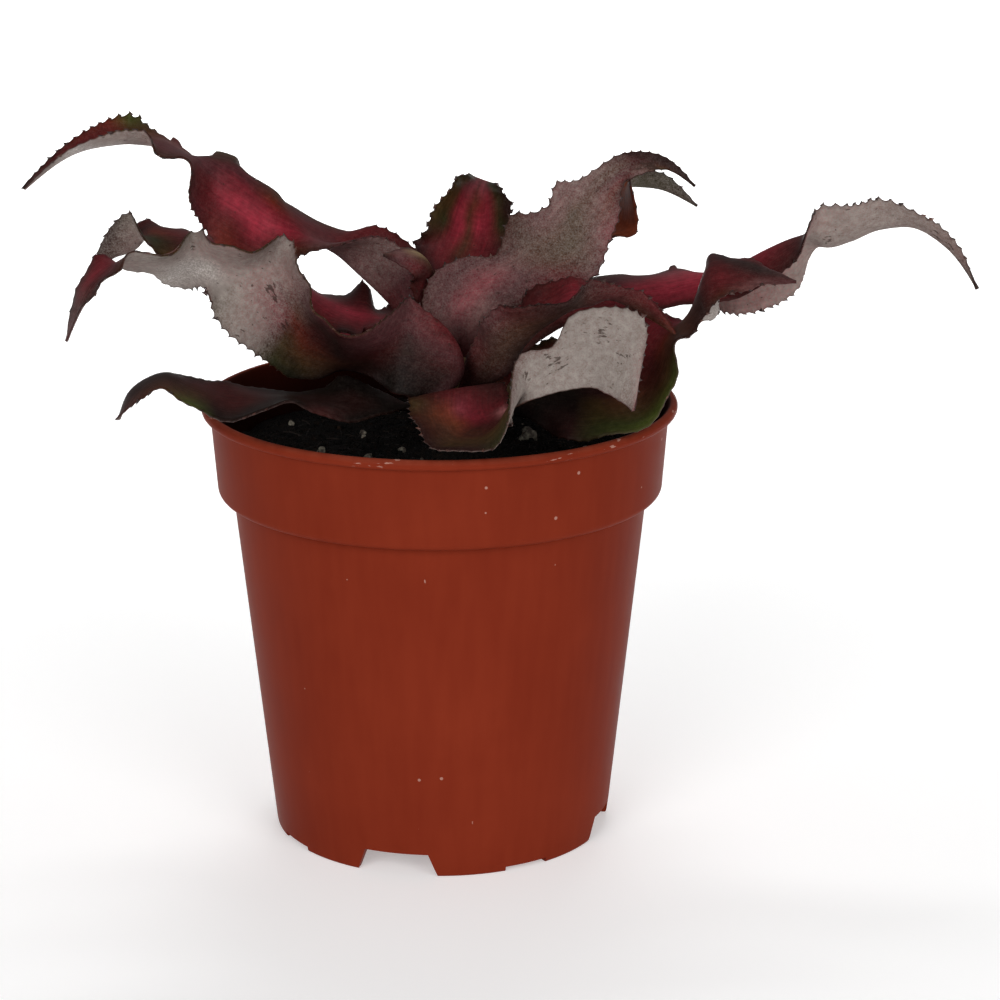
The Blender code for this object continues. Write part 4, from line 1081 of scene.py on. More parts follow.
# What each leaf shows: its upper face and its underside, each as rows of (share of the length,
# pigments, share of the face that scurf covers). Pigments and shares run from the left margin to
# the right one, or there is one for the whole width.
# The darkest rows, near the stem, on the low leaves and where a leaf lies under others, are painted
# shade.
PLAIN_UNDER = [(0.0, "plum mauve plum", 0.2), (0.3, "plum mauve plum", 0.6), (0.8, "mauve", 0.75),
               (1.0, "brown", 0.4)]
PLAIN_UPPER = [(0.0, "brown tan brown", 0.05), (0.2, "olive wine crimson wine olive", 0.02),
               (0.6, "moss cherry crimson cherry moss", 0.02),
               (0.85, "brown wine wine brown", 0.04), (1.0, "dusk", 0.05)]
LOOKS = {
    "leaf_upper_left": (
        [(0.0, "dusk maroon maroon maroon brown", 0.05),
         (0.18, "dusk dusk dusk maroon brown", 0.05),
         (0.25, "mauve plum plum maroon maroon", (0.3, 0.2, 0.12, 0.05, 0.03)),
         (0.32, "plum plum plum wine wine", (0.15, 0.12, 0.08, 0.03, 0.02)),
         (0.4, "brown cherry wine plum brown", 0.02),
         (0.47, "brown wine crimson cherry rust bronze brown brown brown", 0.01),
         (0.54, "rust wine crimson cherry plum plum brown brown brown", 0.01),
         (0.61, "plum wine wine plum plum brown brown olive brown", 0.03),
         (0.68, "brown plum plum mauve wine", 0.07), (0.74, "brown wine wine bronze olive", 0.03),
         (0.78, "leaf olive brown maroon leaf", 0.03), (0.83, "rust wine wine rust", 0.03),
         (0.92, "maroon wine wine maroon", 0.04), (1.0, "dusk", 0.1)],
        [(0.0, "dusk maroon maroon", 0.03), (0.18, "plum wine maroon maroon", 0.07),
         (0.25, "mauve mauve plum maroon", (0.4, 0.15, 0.05)),
         (0.33, "mauve plum plum maroon", (0.25, 0.12, 0.05)), (0.7, "mauve mauve plum rust", 0.5),
         (0.76, "mauve mauve mauve rust", 0.75),
         (0.82, "mauve silver silver brown", (0.8, 0.4, 0.3)),
         (0.88, "silver silver silver brown", (0.6, 0.3, 0.3)),
         (0.95, "mauve silver brown", (0.8, 0.5, 0.6)), (1.0, "mauve mauve dusk", 0.6)],
    ),
    "leaf_upright_back": (
        [(0.0, "tan", 0.05), (0.25, "dusk maroon wine maroon wine maroon dusk", 0.02),
         (0.33, "dusk wine cherry bronze cherry wine dusk", 0.02),
         (0.42, "olive moss cherry crimson bronze crimson cherry moss dusk", 0.01),
         (0.5, "olive olive cherry crimson bronze rust cherry cherry moss dusk", 0.01),
         (0.62, "moss olive wine rose wine rose wine moss dusk", 0.05),
         (0.8, "moss olive wine wine olive moss", 0.05), (1.0, "dusk", 0.05)],
        PLAIN_UNDER,
    ),
    "leaf_upright_right": (
        PLAIN_UPPER,
        [(0.0, "dusk plum maroon maroon", 0.02), (0.1, "plum mauve plum mauve maroon", 0.12),
         (0.18, "plum mauve rose plum maroon", 0.18), (0.25, "maroon plum rose plum plum", 0.17),
         (0.33, "wine plum plum mauve plum maroon", 0.17),
         (0.42, "wine wine bronze bronze brown brown", (0.1, 0.22, 0.3, 0.12)),
         (0.5, "plum bronze olive bronze mauve plum", 0.28),
         (0.58, "rose mauve bronze olive mauve mauve", 0.3),
         (0.66, "maroon rust mauve bronze mauve mauve", (0.2, 0.27, 0.27, 0.45)),
         (0.73, "dusk wine plum bronze mauve", (0.05, 0.22, 0.45)),
         (0.8, "mauve brown maroon dusk", (0.25, 0.1, 0.02)),
         (0.88, "olive brown dusk dusk", 0.06), (1.0, "dusk", 0.06)],
    ),
    "leaf_right_back": (
        [(0.0, "tan brown brown", 0.05), (0.3, "olive cherry wine cherry olive", 0.02),
         (0.55, "plum rust bronze clay clay", 0.03), (0.66, "clay", 0.02),
         (0.76, "clay clay clay rust", 0.03), (0.85, "moss olive olive moss", 0.1),
         (1.0, "dusk", 0.1)],
        [(0.0, "plum", 0.1), (0.6, "mauve", 0.6), (0.8, "olive leaf leaf olive", 0.5),
         (0.9, "olive olive moss", 0.4), (1.0, "dusk olive dusk", 0.3)],
    ),
    "leaf_long_right": (
        [(0.0, "brown plum brown", 0.05), (0.2, "maroon wine cherry wine maroon", 0.04),
         (0.3, "olive plum plum cherry wine maroon", 0.03),
         (0.4, "brown plum rose crimson crimson maroon", 0.02),
         (0.5, "wine cherry crimson crimson cherry maroon", 0.01),
         (0.58, "rose cherry crimson cherry wine maroon", 0.02),
         (0.65, "wine cherry wine maroon dusk", 0.04), (0.85, "brown", 0.1), (1.0, "dusk", 0.1)],
        [(0.0, "plum", 0.1), (0.4, "mauve mauve wine", 0.4), (0.5, "blush blush bronze", 0.6),
         (0.56, "blush rose clay rust", (0.6, 0.3, 0.1, 0.1)),
         (0.62, "blush blush mauve rose", (0.8, 0.75, 0.85, 0.5)),
         (0.7, "blush mauve blush", 0.88), (0.8, "mauve", 0.8), (0.88, "mauve", 0.7),
         (0.93, "olive plum mauve", 0.55), (1.0, "brown", 0.35)],
    ),
    "leaf_low_right": (
        [(0.0, "tan", 0.05), (0.15, "dusk olive dusk night", 0.02),
         (0.24, "dusk night night night night", 0.0),
         (0.33, "dusk dusk night night dusk dusk", 0.0),
         (0.4, "dusk dusk dusk dusk olive moss moss", 0.0),
         (0.47, "wine maroon dusk brown bronze moss leaf", 0.01),
         (0.54, "wine wine wine maroon brown olive leaf", 0.01),
         (0.62, "wine cherry wine rust bronze bronze dusk", 0.02),
         (0.7, "plum wine wine brown brown dusk", 0.02),
         (0.77, "plum maroon wine maroon dusk dusk", 0.03),
         (0.84, "dusk dusk maroon wine wine brown", 0.01),
         (0.9, "wine dusk dusk maroon mauve", 0.05), (1.0, "plum maroon plum", 0.08)],
        [(0.0, "plum", 0.1), (0.4, "brown bronze bronze", 0.2), (0.6, "mauve", 0.6),
         (0.7, "silver mauve mauve", 0.7), (0.9, "mauve", 0.5), (1.0, "brown", 0.1)],
    ),
    "leaf_front": (
        [(0.0, "dusk brown brown", 0.02), (0.2, "dusk dusk maroon maroon brown", 0.03),
         (0.27, "maroon maroon wine wine brown olive", 0.02),
         (0.33, "wine wine cherry rose clay bronze brown", 0.01),
         (0.38, "blush wine cherry cherry clay bronze brown dusk", 0.01),
         (0.44, "brown maroon maroon brown brown olive dusk", 0.01),
         (0.5, "night brown brown brown olive dusk", 0.01), (0.55, "brown brown olive moss", 0.02),
         (0.75, "olive cherry crimson cherry olive", 0.02), (0.9, "wine", 0.03),
         (1.0, "dusk", 0.05)],
        [(0.0, "dusk maroon maroon", 0.02), (0.22, "plum wine wine plum", 0.1),
         (0.34, "mauve", 0.5), (0.55, "mauve", 0.88),
         (0.66, "mauve mauve mauve mauve wine", (0.93, 0.93, 0.93, 0.93, 0.5)),
         (0.74, "mauve", 0.95), (0.87, "mauve bronze mauve mauve mauve", 0.93),
         (0.94, "bronze mauve blush blush maroon", (0.6, 0.75, 0.8, 0.75, 0.2)),
         (1.0, "brown rose wine", 0.3)],
    ),
    "leaf_inner_right": (
        [(0.0, "tan", 0.05), (0.35, "maroon wine cherry wine maroon", 0.02),
         (0.5, "maroon wine cherry maroon dusk", 0.01),
         (0.58, "wine cherry cherry maroon dusk", 0.02), (0.66, "plum plum wine wine", 0.1),
         (0.76, "wine maroon maroon wine", 0.04), (0.9, "wine bronze wine", 0.04),
         (1.0, "rust bronze rust", 0.05)],
        [(0.0, "dusk dusk maroon maroon", 0.02), (0.12, "dusk dusk dusk maroon", 0.03),
         (0.22, "night dusk maroon brown wine", 0.1), (0.32, "dusk dusk brown bronze plum", 0.14),
         (0.42, "night dusk brown bronze wine", 0.08),
         (0.52, "night dusk dusk brown maroon", 0.08), (0.62, "dusk dusk plum brown dusk", 0.12),
         (0.72, "brown bronze wine wine", 0.12), (0.82, "brown maroon brown wine", 0.06),
         (0.92, "rust clay brown wine", 0.03), (1.0, "rust bronze rust", 0.05)],
    ),
    "leaf_long_left": (
        [(0.0, "brown", 0.02), (0.12, "dusk maroon plum plum", 0.05),
         (0.5, "olive crimson crimson cherry olive", 0.02),
         (0.75, "olive crimson crimson wine", 0.02), (0.82, "brown plum wine cherry cherry", 0.02),
         (0.88, "dusk maroon wine cherry wine maroon", 0.02),
         (0.93, "dusk maroon maroon dusk", 0.12), (1.0, "plum", 0.3)],
        [(0.0, "dusk maroon plum maroon", 0.04),
         (0.11, "wine wine plum plum plum", (0.03, 0.06, 0.1)),
         (0.17, "wine wine plum maroon dusk dusk night", (0.04, 0.06, 0.03, 0.02)),
         (0.24, "plum plum dusk dusk night night", (0.12, 0.05, 0.03, 0.02)),
         (0.29, "plum plum maroon dusk dusk", (0.08, 0.03, 0.02)),
         (0.35, "maroon dusk dusk brown dusk", 0.03),
         (0.41, "plum dusk maroon rust olive night", 0.04),
         (0.46, "plum plum bronze rust brown olive moss", (0.3, 0.25, 0.1, 0.06, 0.04)),
         (0.5, "mauve blush plum rose plum olive", (0.7, 0.66, 0.45, 0.4, 0.5)),
         (0.54, "mauve mauve blush rose blush mauve", (0.75, 0.75, 0.7, 0.75, 0.85)),
         (0.6, "bronze mauve blush blush olive olive", (0.5, 0.8, 0.85, 0.9, 0.7)),
         (0.66, "blush blush blush silver silver mauve", 0.8),
         (0.73, "leaf mauve silver silver", 0.8), (0.79, "mauve blush mauve", 0.9),
         (0.9, "mauve mauve plum", 0.5), (1.0, "plum", 0.3)],
    ),
    "leaf_middle_left": (
        [(0.0, "brown", 0.02), (0.15, "wine wine maroon maroon", 0.02),
         (0.25, "maroon wine cherry maroon maroon", 0.01),
         (0.33, "dusk wine cherry crimson wine maroon dusk", 0.01),
         (0.42, "brown wine cherry cherry plum wine", 0.02),
         (0.6, "olive cherry cherry wine wine", 0.02), (0.7, "moss wine wine cherry olive", 0.02),
         (0.76, "olive maroon wine wine olive", 0.02), (0.82, "olive moss rust maroon wine", 0.03),
         (0.9, "dusk brown dusk", 0.05), (1.0, "dusk", 0.05)],
        [(0.0, "plum", 0.1), (0.18, "wine", 0.03), (0.3, "cherry wine wine", 0.02),
         (0.5, "mauve", 0.6), (0.8, "mauve", 0.7), (0.88, "olive mauve mauve mauve", 0.62),
         (0.94, "dusk brown brown", 0.3), (1.0, "dusk", 0.1)],
    ),
    "leaf_low_left": (
        [(0.0, "night brown night", 0.02), (0.16, "night night dusk dusk night", 0.02),
         (0.28, "night", 0.02), (0.36, "night dusk dusk night night", 0.02),
         (0.42, "maroon dusk dusk night night", (0.06, 0.04, 0.02, 0.02)),
         (0.49, "night dusk dusk night night", 0.02), (0.56, "night night dusk dusk night", 0.02),
         (0.63, "night dusk maroon maroon maroon dusk", 0.02),
         (0.7, "night dusk maroon maroon maroon dusk", 0.02),
         (0.77, "leaf olive brown maroon dusk", 0.03), (0.85, "bronze brown dusk dusk dusk", 0.03),
         (0.92, "brown dusk dusk dusk", 0.03), (1.0, "maroon dusk dusk", 0.1)],
        [(0.0, "plum", 0.1), (0.35, "dusk dusk brown", 0.05), (0.55, "dusk dusk brown", 0.05),
         (0.7, "plum mauve plum", 0.6), (1.0, "brown", 0.4)],
    ),
    "leaf_heart": (
        [(0.0, "tan", 0.05), (0.25, "wine plum plum rose wine", 0.1),
         (0.4, "maroon wine maroon maroon wine", 0.03),
         (0.55, "maroon wine dusk bronze plum", 0.03),
         (0.68, "maroon maroon bronze tan bronze", 0.05),
         (0.76, "wine wine bronze tan olive", 0.08), (0.88, "plum plum mauve plum", 0.1),
         (1.0, "dusk brown brown", 0.05)],
        [(0.0, "plum", 0.1), (0.5, "wine plum plum", 0.15), (0.7, "plum bronze mauve", 0.25),
         (1.0, "brown", 0.1)],
    ),
    "leaf_rear_left": (PLAIN_UPPER, PLAIN_UNDER),
    "leaf_rear_low": (PLAIN_UPPER, PLAIN_UNDER),
    "leaf_rear_right": (PLAIN_UPPER, PLAIN_UNDER),
    "leaf_rear_side": (PLAIN_UPPER, PLAIN_UNDER),
}


def through(knots, values, wanted):
    """Smooth curve through the values at the knots, read at the wanted places. It is a cubic
    Hermite spline whose slopes are those of a parabola through each three neighbours."""
    steps = np.diff(knots)
    rises = np.diff(values, axis=0) / steps[:, None]
    slopes = np.empty_like(values)
    before = steps[:-1, None]
    after = steps[1:, None]
    slopes[1:-1] = (rises[:-1] * after + rises[1:] * before) / (before + after)
    slopes[0] = 1.5 * rises[0] - 0.5 * slopes[1]
    slopes[-1] = 1.5 * rises[-1] - 0.5 * slopes[-2]
    span = np.clip(np.searchsorted(knots, wanted, side="right") - 1, 0, len(steps) - 1)
    step = steps[span][:, None]
    part = (wanted - knots[span])[:, None] / step
    rest = 1 - part
    start = values[span] * (1 + 2 * part) + slopes[span] * step * part
    end = values[span + 1] * (3 - 2 * part) - slopes[span + 1] * step * rest
    return start * rest**2 + end * part**2


def distances(line):
    """How far each point of a line is from its start."""
    steps = np.linalg.norm(np.diff(line, axis=0), axis=1)
    return np.concatenate([[0.0], np.cumsum(steps)])


def leaf_lines(stations):
    """Midrib, left and right margin [row, line, xyz], evenly spaced along the midrib, and each
    row's distance from the leaf's base."""
    guides = np.array(stations, float) * MM + np.array(POT_AXIS)
    midrib = guides[:, 0]
    steps = np.linalg.norm(np.diff(midrib, axis=0), axis=1)
    knots = np.concatenate([[0.0], np.cumsum(steps**0.75)])
    fine = np.linspace(0.0, knots[-1], CURVE_SAMPLES)
    length = distances(through(knots, midrib, fine))
    along = np.linspace(0.0, length[-1], round(length[-1] / LEAF_ROW))
    wanted = np.interp(along, length, fine)
    lines = through(knots, guides.reshape(len(guides), 9), wanted).reshape(len(along), 3, 3)
    return lines, along


def unit(vectors):
    return vectors / np.maximum(np.linalg.norm(vectors, axis=-1, keepdims=True), 1e-9)


def smooth_step(low, high, values):
    share = np.clip((values - low) / (high - low), 0.0, 1.0)
    return share * share * (3 - 2 * share)


def noise_field(points, size, seed):
    """noise_at for an array of points."""
    flat = points.reshape(-1, 3)
    found = np.array([noise_at(point, size, seed) for point in flat])
    return found.reshape(points.shape[:-1])


def tooth_phase(line, seed):
    """Grows along a margin and is a whole number at the point of each tooth."""
    length = distances(line)
    uneven = noise_field(np.stack([length, 0 * length, 0 * length], -1), 5 * MM, seed)
    spacing = TOOTH_SPACING * (1 + TOOTH_UNEVENNESS * uneven[:-1])
    return np.concatenate([[0.0], np.cumsum(np.diff(length) / spacing)])


def tooth_factor(node, side, share):
    rows = MARGIN_TEETH.get((node, side), ((0.0, 1.0),))
    return np.interp(share, [row[0] for row in rows], [row[1] for row in rows])


def leaf_surface(node, lines, along, seed):
    """The leaf's middle surface [row, column, xyz] with its wavy, toothed margin, its unit normals
    and the phase of the teeth on its left and right margin. Across the leaf, a parabola runs from
    margin to margin through the midrib."""
    middle, left, right = (lines[:, None, k] for k in range(3))
    across = np.linspace(-1.0, 1.0, LEAF_COLUMNS)[None, :]
    share = across[..., None]
    grid = (
        left * share * (share - 1) / 2
        + middle * (1 - share**2)
        + right * share * (share + 1) / 2
    )
    normals = unit(np.cross(np.gradient(grid, axis=1), np.gradient(grid, axis=0)))
    width = np.linalg.norm(right - left, axis=-1)
    room = smooth_step(FLAT_WIDTH, RIPPLED_WIDTH, width)
    turns = along[:, None] / RIPPLE_LENGTH + 0.37 * seed + 0.31 * np.sign(across)
    swing = np.sin(2 * math.pi * (turns + 0.12 * np.sin(2 * math.pi * turns / 2.7)))
    ripple = RIPPLE_HEIGHT * RIPPLES.get(node, 1.0) * swing * np.abs(across) ** 3
    buckle = BUCKLE_HEIGHT * noise_field(grid, BUCKLE_SIZE, seed)
    ends = smooth_step(0.0, FLAT_BASE, along)[:, None]
    grid = grid + normals * ((ripple + buckle) * room * ends)[..., None]

    teeth = []
    run = along / along[-1]
    for side, edge, inner in ((-1, 0, 3), (1, -1, -4)):
        phase = tooth_phase(lines[:, 1 if side < 0 else 2], seed + side)
        teeth.append(phase)
        outward = unit(grid[:, edge] - grid[:, inner])
        height = TOOTH_HEIGHT * (0.4 + 0.6 * room[:, 0]) * smooth_step(*FIRST_TEETH, run)
        height *= smooth_step(*LAST_TEETH, run) * tooth_factor(node, side, run)
        grid[:, edge] += outward * (height * (1 - np.abs(np.sin(math.pi * phase))))[:, None]
        for leaf, lobe_side, centre, reach, rise in LOBES:
            if leaf == node and lobe_side == side:
                away = np.abs(along / MM - centre * along[-1] / MM) / reach
                push = rise * MM * np.exp(-(away ** 8))
                spread = np.clip((side * across[0] - LOBE_FROM) / (1 - LOBE_FROM), 0, 1) ** 1.5
                grid[..., 2] += push[:, None] * spread[None]
    return grid, normals, teeth


def colour_grid(rows, run, across):
    """Pigment with its painted shade [.., rgba] and scurf cover at places along and across a leaf.
    """
    shares = np.linspace(-1.0, 1.0, COLOUR_COLUMNS)
    stops = [row[0] for row in rows]
    bands = []
    for _, names, cover in rows:
        colours = np.array([linear(PIGMENTS_AND_SHADES[name]) for name in names.split()])
        spots = np.linspace(-1.0, 1.0, len(colours))
        band = [np.interp(shares, spots, colours[:, k]) for k in range(3)]
        covers = np.atleast_1d(cover)
        band.append(np.interp(shares, np.linspace(-1.0, 1.0, len(covers)), covers))
        bands.append(band)
    bands = np.array(bands)
    place = np.clip((across + 1) / 2 * (COLOUR_COLUMNS - 1), 0.0, COLOUR_COLUMNS - 1.001)
    band = place.astype(int)
    part = place - band
    channels = []
    for k in range(4):
        columns = np.array([
            np.interp(run, stops, bands[:, k, j]) for j in range(COLOUR_COLUMNS)
        ])
        low = np.take_along_axis(columns, band[None], 0)[0]
        high = np.take_along_axis(columns, band[None] + 1, 0)[0]
        channels.append(low * (1 - part) + high * part)
    scurf = channels.pop()
    return np.stack(channels + [np.ones_like(run)], axis=-1), scurf


def give_points(mesh, key, kind, values):
    """Stores a number, vector or colour for every point of a mesh."""
    field = {"FLOAT": "value", "FLOAT_VECTOR": "vector", "FLOAT_COLOR": "color"}[kind]
    mesh.attributes.new(key, kind, "POINT").data.foreach_set(field, np.ravel(values))


def leaf_mesh(name, grid, normals, along, seed):
    """A closed blade: thick at the midrib, thin and rounded at its margins. Points carry the
    pigment with its painted shade, the scurf's cover and their place on the blade."""
    rows, columns = grid.shape[:2]
    across = np.linspace(-1.0, 1.0, columns)[None, :].repeat(rows, 0)
    run = (along / along[-1])[:, None].repeat(columns, 1)
    flesh = MARGIN_THICKNESS + (MIDRIB_THICKNESS - MARGIN_THICKNESS) * (1 - across**2)
    half = flesh * (1 - TIP_THINNING * run**4) / 2
    upper = grid + normals * half[..., None]
    under = grid - normals * half[..., None]
    outward = unit(grid[:, [0, -1]] - grid[:, [1, -2]])
    edges = grid[:, [0, -1]] + outward * MARGIN_ROUND
    widths = np.cumsum(np.linalg.norm(np.diff(grid, axis=1), axis=2), axis=1)
    widths = np.concatenate([np.zeros((rows, 1)), widths], axis=1)
    from_midrib = widths - widths[:, columns // 2][:, None]
    to_margin = np.minimum(widths, widths[:, -1:] - widths)
    along_mm = along[:, None].repeat(columns, 1)
    blade = np.stack([from_midrib, along_mm, to_margin], axis=-1)

    (far, size), (wide, spot_size) = WANDER_ALONG, WANDER_ACROSS
    places = (
        np.clip(run + far * noise_field(grid, size, seed + 20), 0, 1),
        np.clip(across + wide * noise_field(grid, spot_size, seed + 40), -1, 1),
    )
    upper_look, under_look = LOOKS[name]
    upper_pigment_and_shade, upper_scurf = colour_grid(upper_look, *places)
    under_pigment_and_shade, under_scurf = colour_grid(under_look, *places)
    scars = np.zeros((2, *run.shape))
    for leaf, face, share, place, radius, depth in SCARS:
        if leaf == name:
            spot = grid[round(share * (rows - 1)), round((place + 1) / 2 * (columns - 1))]
            away = np.linalg.norm(grid - spot, axis=-1) / (radius * MM)
            scars[face] = np.maximum(scars[face], depth * np.exp(-away**2))

    count = rows * columns
    points = np.concatenate([upper.reshape(-1, 3), under.reshape(-1, 3), edges.reshape(-1, 3)])
    rim = [0, -1]
    pigment_and_shade = np.concatenate([
        upper_pigment_and_shade.reshape(-1, 4), under_pigment_and_shade.reshape(-1, 4),
        upper_pigment_and_shade[:, rim].reshape(-1, 4),
    ])
    scurf = np.concatenate([upper_scurf.ravel(), under_scurf.ravel(), np.zeros(2 * rows)])
    scar = np.concatenate([scars.ravel(), np.zeros(2 * rows)])
    blade = np.concatenate([
        blade.reshape(-1, 3), blade.reshape(-1, 3), blade[:, rim].reshape(-1, 3)
    ])

    index = np.arange(count).reshape(rows, columns)
    lower = index + count
    left_edge = 2 * count + 2 * np.arange(rows)
    right_edge = left_edge + 1

    def strip(first, second):
        """Quads between two lines of points."""
        return np.stack([first[:-1], second[:-1], second[1:], first[1:]], axis=-1).reshape(-1, 4)

    top = [strip(index[:, j], index[:, j + 1]) for j in range(columns - 1)]
    bottom = [strip(lower[:, j + 1], lower[:, j]) for j in range(columns - 1)]
    sides = [
        strip(index[:, -1], right_edge), strip(right_edge, lower[:, -1]),
        strip(lower[:, 0], left_edge), strip(left_edge, index[:, 0]),
    ]
    base = np.stack([index[0, :-1], lower[0, :-1], lower[0, 1:], index[0, 1:]], -1)
    tip = np.stack([index[-1, 1:], lower[-1, 1:], lower[-1, :-1], index[-1, :-1]], -1)
    quads = np.concatenate(top + bottom + sides + [base, tip])
    mesh = bpy.data.meshes.new(name)
    corners = [tuple(quad) for quad in quads.tolist()]
    corners += [
        (left_edge[0], lower[0, 0], index[0, 0]),
        (right_edge[0], index[0, -1], lower[0, -1]),
        (left_edge[-1], index[-1, 0], lower[-1, 0]),
        (right_edge[-1], lower[-1, -1], index[-1, -1]),
    ]
    mesh.from_pydata(points.tolist(), [], corners)
    underside = len(top) * (rows - 1)
    material_index = np.zeros(len(corners), np.int32)
    material_index[underside:2 * underside] = 1
    mesh.polygons.foreach_set("material_index", material_index)
    give_points(mesh, "blade", "FLOAT_VECTOR", blade)
    give_points(mesh, "pigment_and_shade", "FLOAT_COLOR", pigment_and_shade)
    give_points(mesh, "scurf", "FLOAT", scurf)
    give_points(mesh, "scar", "FLOAT", scar)
    mesh.shade_smooth()
    mesh.update()
    return mesh


def leaf_skin(name, gloss, vein, pit_share, edge_shade):
    """The waxy skin of a Cryptanthus leaf. Its veins run lengthwise as fine ridges, and flat grey
    scales, the scurf, cover it in part: few on the upper face, nearly all of the underside."""
    material, tree, shader = new_material(name, IOR=1.4, Specular_IOR_Level=0.12)
    place = add_node(tree, "ShaderNodeTexCoord").outputs["Object"]
    pigment_and_shade, cover, scar, blade = [
        add_node(tree, "ShaderNodeAttribute", attribute_name=key).outputs[output]
        for key, output in (
            ("pigment_and_shade", "Color"), ("scurf", "Fac"), ("scar", "Fac"), ("blade", "Vector"),
        )
    ]
    lengthwise, scrape_space = [
        add_node(
            tree, "ShaderNodeMapping",
            {"Vector": blade, "Rotation": (0.0, 0.0, turn), "Scale": (1.0, squeeze, 0.0)},
        ).outputs[0]
        for turn, squeeze in ((0.0, 0.07), (0.5, 0.35))
    ]
    veins, mottle, scales, scrapes = [
        add_node(
            tree, "ShaderNodeTexNoise",
            {"Vector": space, "Scale": 1 / size, "Detail": detail, "Roughness": rough},
        ).outputs["Fac"]
        for space, size, detail, rough in (
            (lengthwise, 0.5 * MM, 4.0, 0.6), (place, 1.1 * MM, 4.0, 0.5),
            (place, 0.3 * MM, 2.0, 0.6), (scrape_space, 0.7 * MM, 5.0, 0.65),
        )
    ]
    cells = add_node(tree, "ShaderNodeTexVoronoi", {"Vector": place, "Scale": 1 / (2.3 * MM)})
    chance = add_node(tree, "ShaderNodeSeparateColor", (cells.outputs["Color"],)).outputs[0]
    to_margin = add_node(tree, "ShaderNodeSeparateXYZ", (blade,)).outputs["Z"]
    scarred = add_node(
        tree, "ShaderNodeMath", (scar, 0.12, scrapes), operation="MULTIPLY_ADD"
    ).outputs[0]
    # Veins and mottles make the flesh lighter and darker. Scales and mottles make the scurf
    # uneven. Then come the pits, the scraped places and the dark margin.
    streaks, blotches, brushed, spread, patches, room, pit_size, scraped, margin = [
        add_node(
            tree, "ShaderNodeMapRange",
            {"Value": value, "From Min": start, "From Max": end, "To Min": low, "To Max": high},
        ).outputs[0]
        for value, start, end, low, high in (
            (veins, 0.3, 0.7, 0.84, 1.16), (mottle, 0.3, 0.7, 0.8, 1.2),
            (veins, 0.3, 0.7, 0.95, 1.05), (scales, 0.3, 0.7, -0.52, 0.52),
            (mottle, 0.3, 0.7, -0.12, 0.12), (cover, 0.0, 0.35, 0.05, 0.6),
            (chance, 0.4, 1.0, 0.02, 0.11),
            (scarred, 1.0 - pit_share, 1.04 - pit_share, 0.0, 0.75),
            (to_margin, 0.1 * MM, 0.6 * MM, edge_shade, 0.0),
        )
    ]
    shade = add_node(tree, "ShaderNodeMath", (streaks, blotches), operation="MULTIPLY").outputs[0]
    flesh = add_node(
        tree, "ShaderNodeVectorMath", {0: pigment_and_shade, "Scale": shade}, operation="SCALE"
    ).outputs[0]
    uneven = add_node(tree, "ShaderNodeMath", (spread, patches), operation="ADD").outputs[0]
    covered = add_node(
        tree, "ShaderNodeMath", (uneven, room, cover), operation="MULTIPLY_ADD", use_clamp=True
    ).outputs[0]
    scurf_colour = add_node(
        tree, "ShaderNodeValToRGB", {"Fac": mottle},
        stops=[(0.3, "#7B726B"), (0.5, "#837A74"), (0.7, "#8C847D")],
    ).outputs[0]
    powdered = add_node(
        tree, "ShaderNodeMix", {0: covered, 6: flesh, 7: scurf_colour}, data_type="RGBA"
    ).outputs[2]
    dusted = add_node(
        tree, "ShaderNodeVectorMath", {0: powdered, "Scale": brushed}, operation="SCALE"
    ).outputs[0]
    pits = add_node(
        tree, "ShaderNodeMath", (cells.outputs["Distance"], pit_size), operation="LESS_THAN"
    ).outputs[0]
    pit_depth = add_node(tree, "ShaderNodeMath", (pits, 0.65), operation="MULTIPLY").outputs[0]
    marks = add_node(tree, "ShaderNodeMath", (pit_depth, scraped), operation="MAXIMUM").outputs[0]
    colour = dusted
    for share, dark in ((marks, "#2E1F1A"), (margin, "#24120E")):
        colour = add_node(
            tree, "ShaderNodeMix", {0: share, 6: colour, 7: linear(dark)}, data_type="RGBA"
        ).outputs[2]
    tree.links.new(colour, shader.inputs["Base Color"])
    dullness = add_node(
        tree, "ShaderNodeMapRange",
        {"Value": covered, "From Min": 0.0, "From Max": 0.7, "To Min": gloss, "To Max": 0.85},
    ).outputs[0]
    tree.links.new(dullness, shader.inputs["Roughness"])
    vein_bump = add_node(
        tree, "ShaderNodeBump", {"Height": veins, "Strength": vein, "Distance": 0.12 * MM}
    ).outputs[0]
    scale_bump = add_node(
        tree, "ShaderNodeBump",
        {"Height": covered, "Strength": 0.5, "Distance": 0.06 * MM, "Normal": vein_bump},
    ).outputs[0]
    tree.links.new(scale_bump, shader.inputs["Normal"])
    return material


upper_skin = leaf_skin(
    "waxy_leaf_upper_face", gloss=0.48, vein=0.5, pit_share=0.25, edge_shade=0.4
)
under_skin = leaf_skin(
    "scurfy_leaf_underside", gloss=0.55, vein=0.45, pit_share=0.37, edge_shade=0.15
)
surfaces = {}
for seed, (node, stations) in enumerate(LEAVES.items()):
    lines, along = leaf_lines(stations)
    grid, normals, teeth = leaf_surface(node, lines, along, seed)
    surfaces[node] = (grid, normals, teeth, along)
    mesh = leaf_mesh(node, grid, normals, along, seed)
    mesh.materials.append(upper_skin)
    mesh.materials.append(under_skin)
    hand_over(link_new(node.replace("leaf", "blade"), mesh), node)


# ---------------------------------------------------------------------------------------------
# Spines. Every tooth of a leaf's margin ends in a small hooked spine, 1.5 to 3 mm from the next.
# It is a hard, flattened outgrowth of the margin, dark red-brown with a straw-coloured point.
# ---------------------------------------------------------------------------------------------

SPINE_LENGTH = 0.6 * MM
SPINE_TO_TIP = 0.35


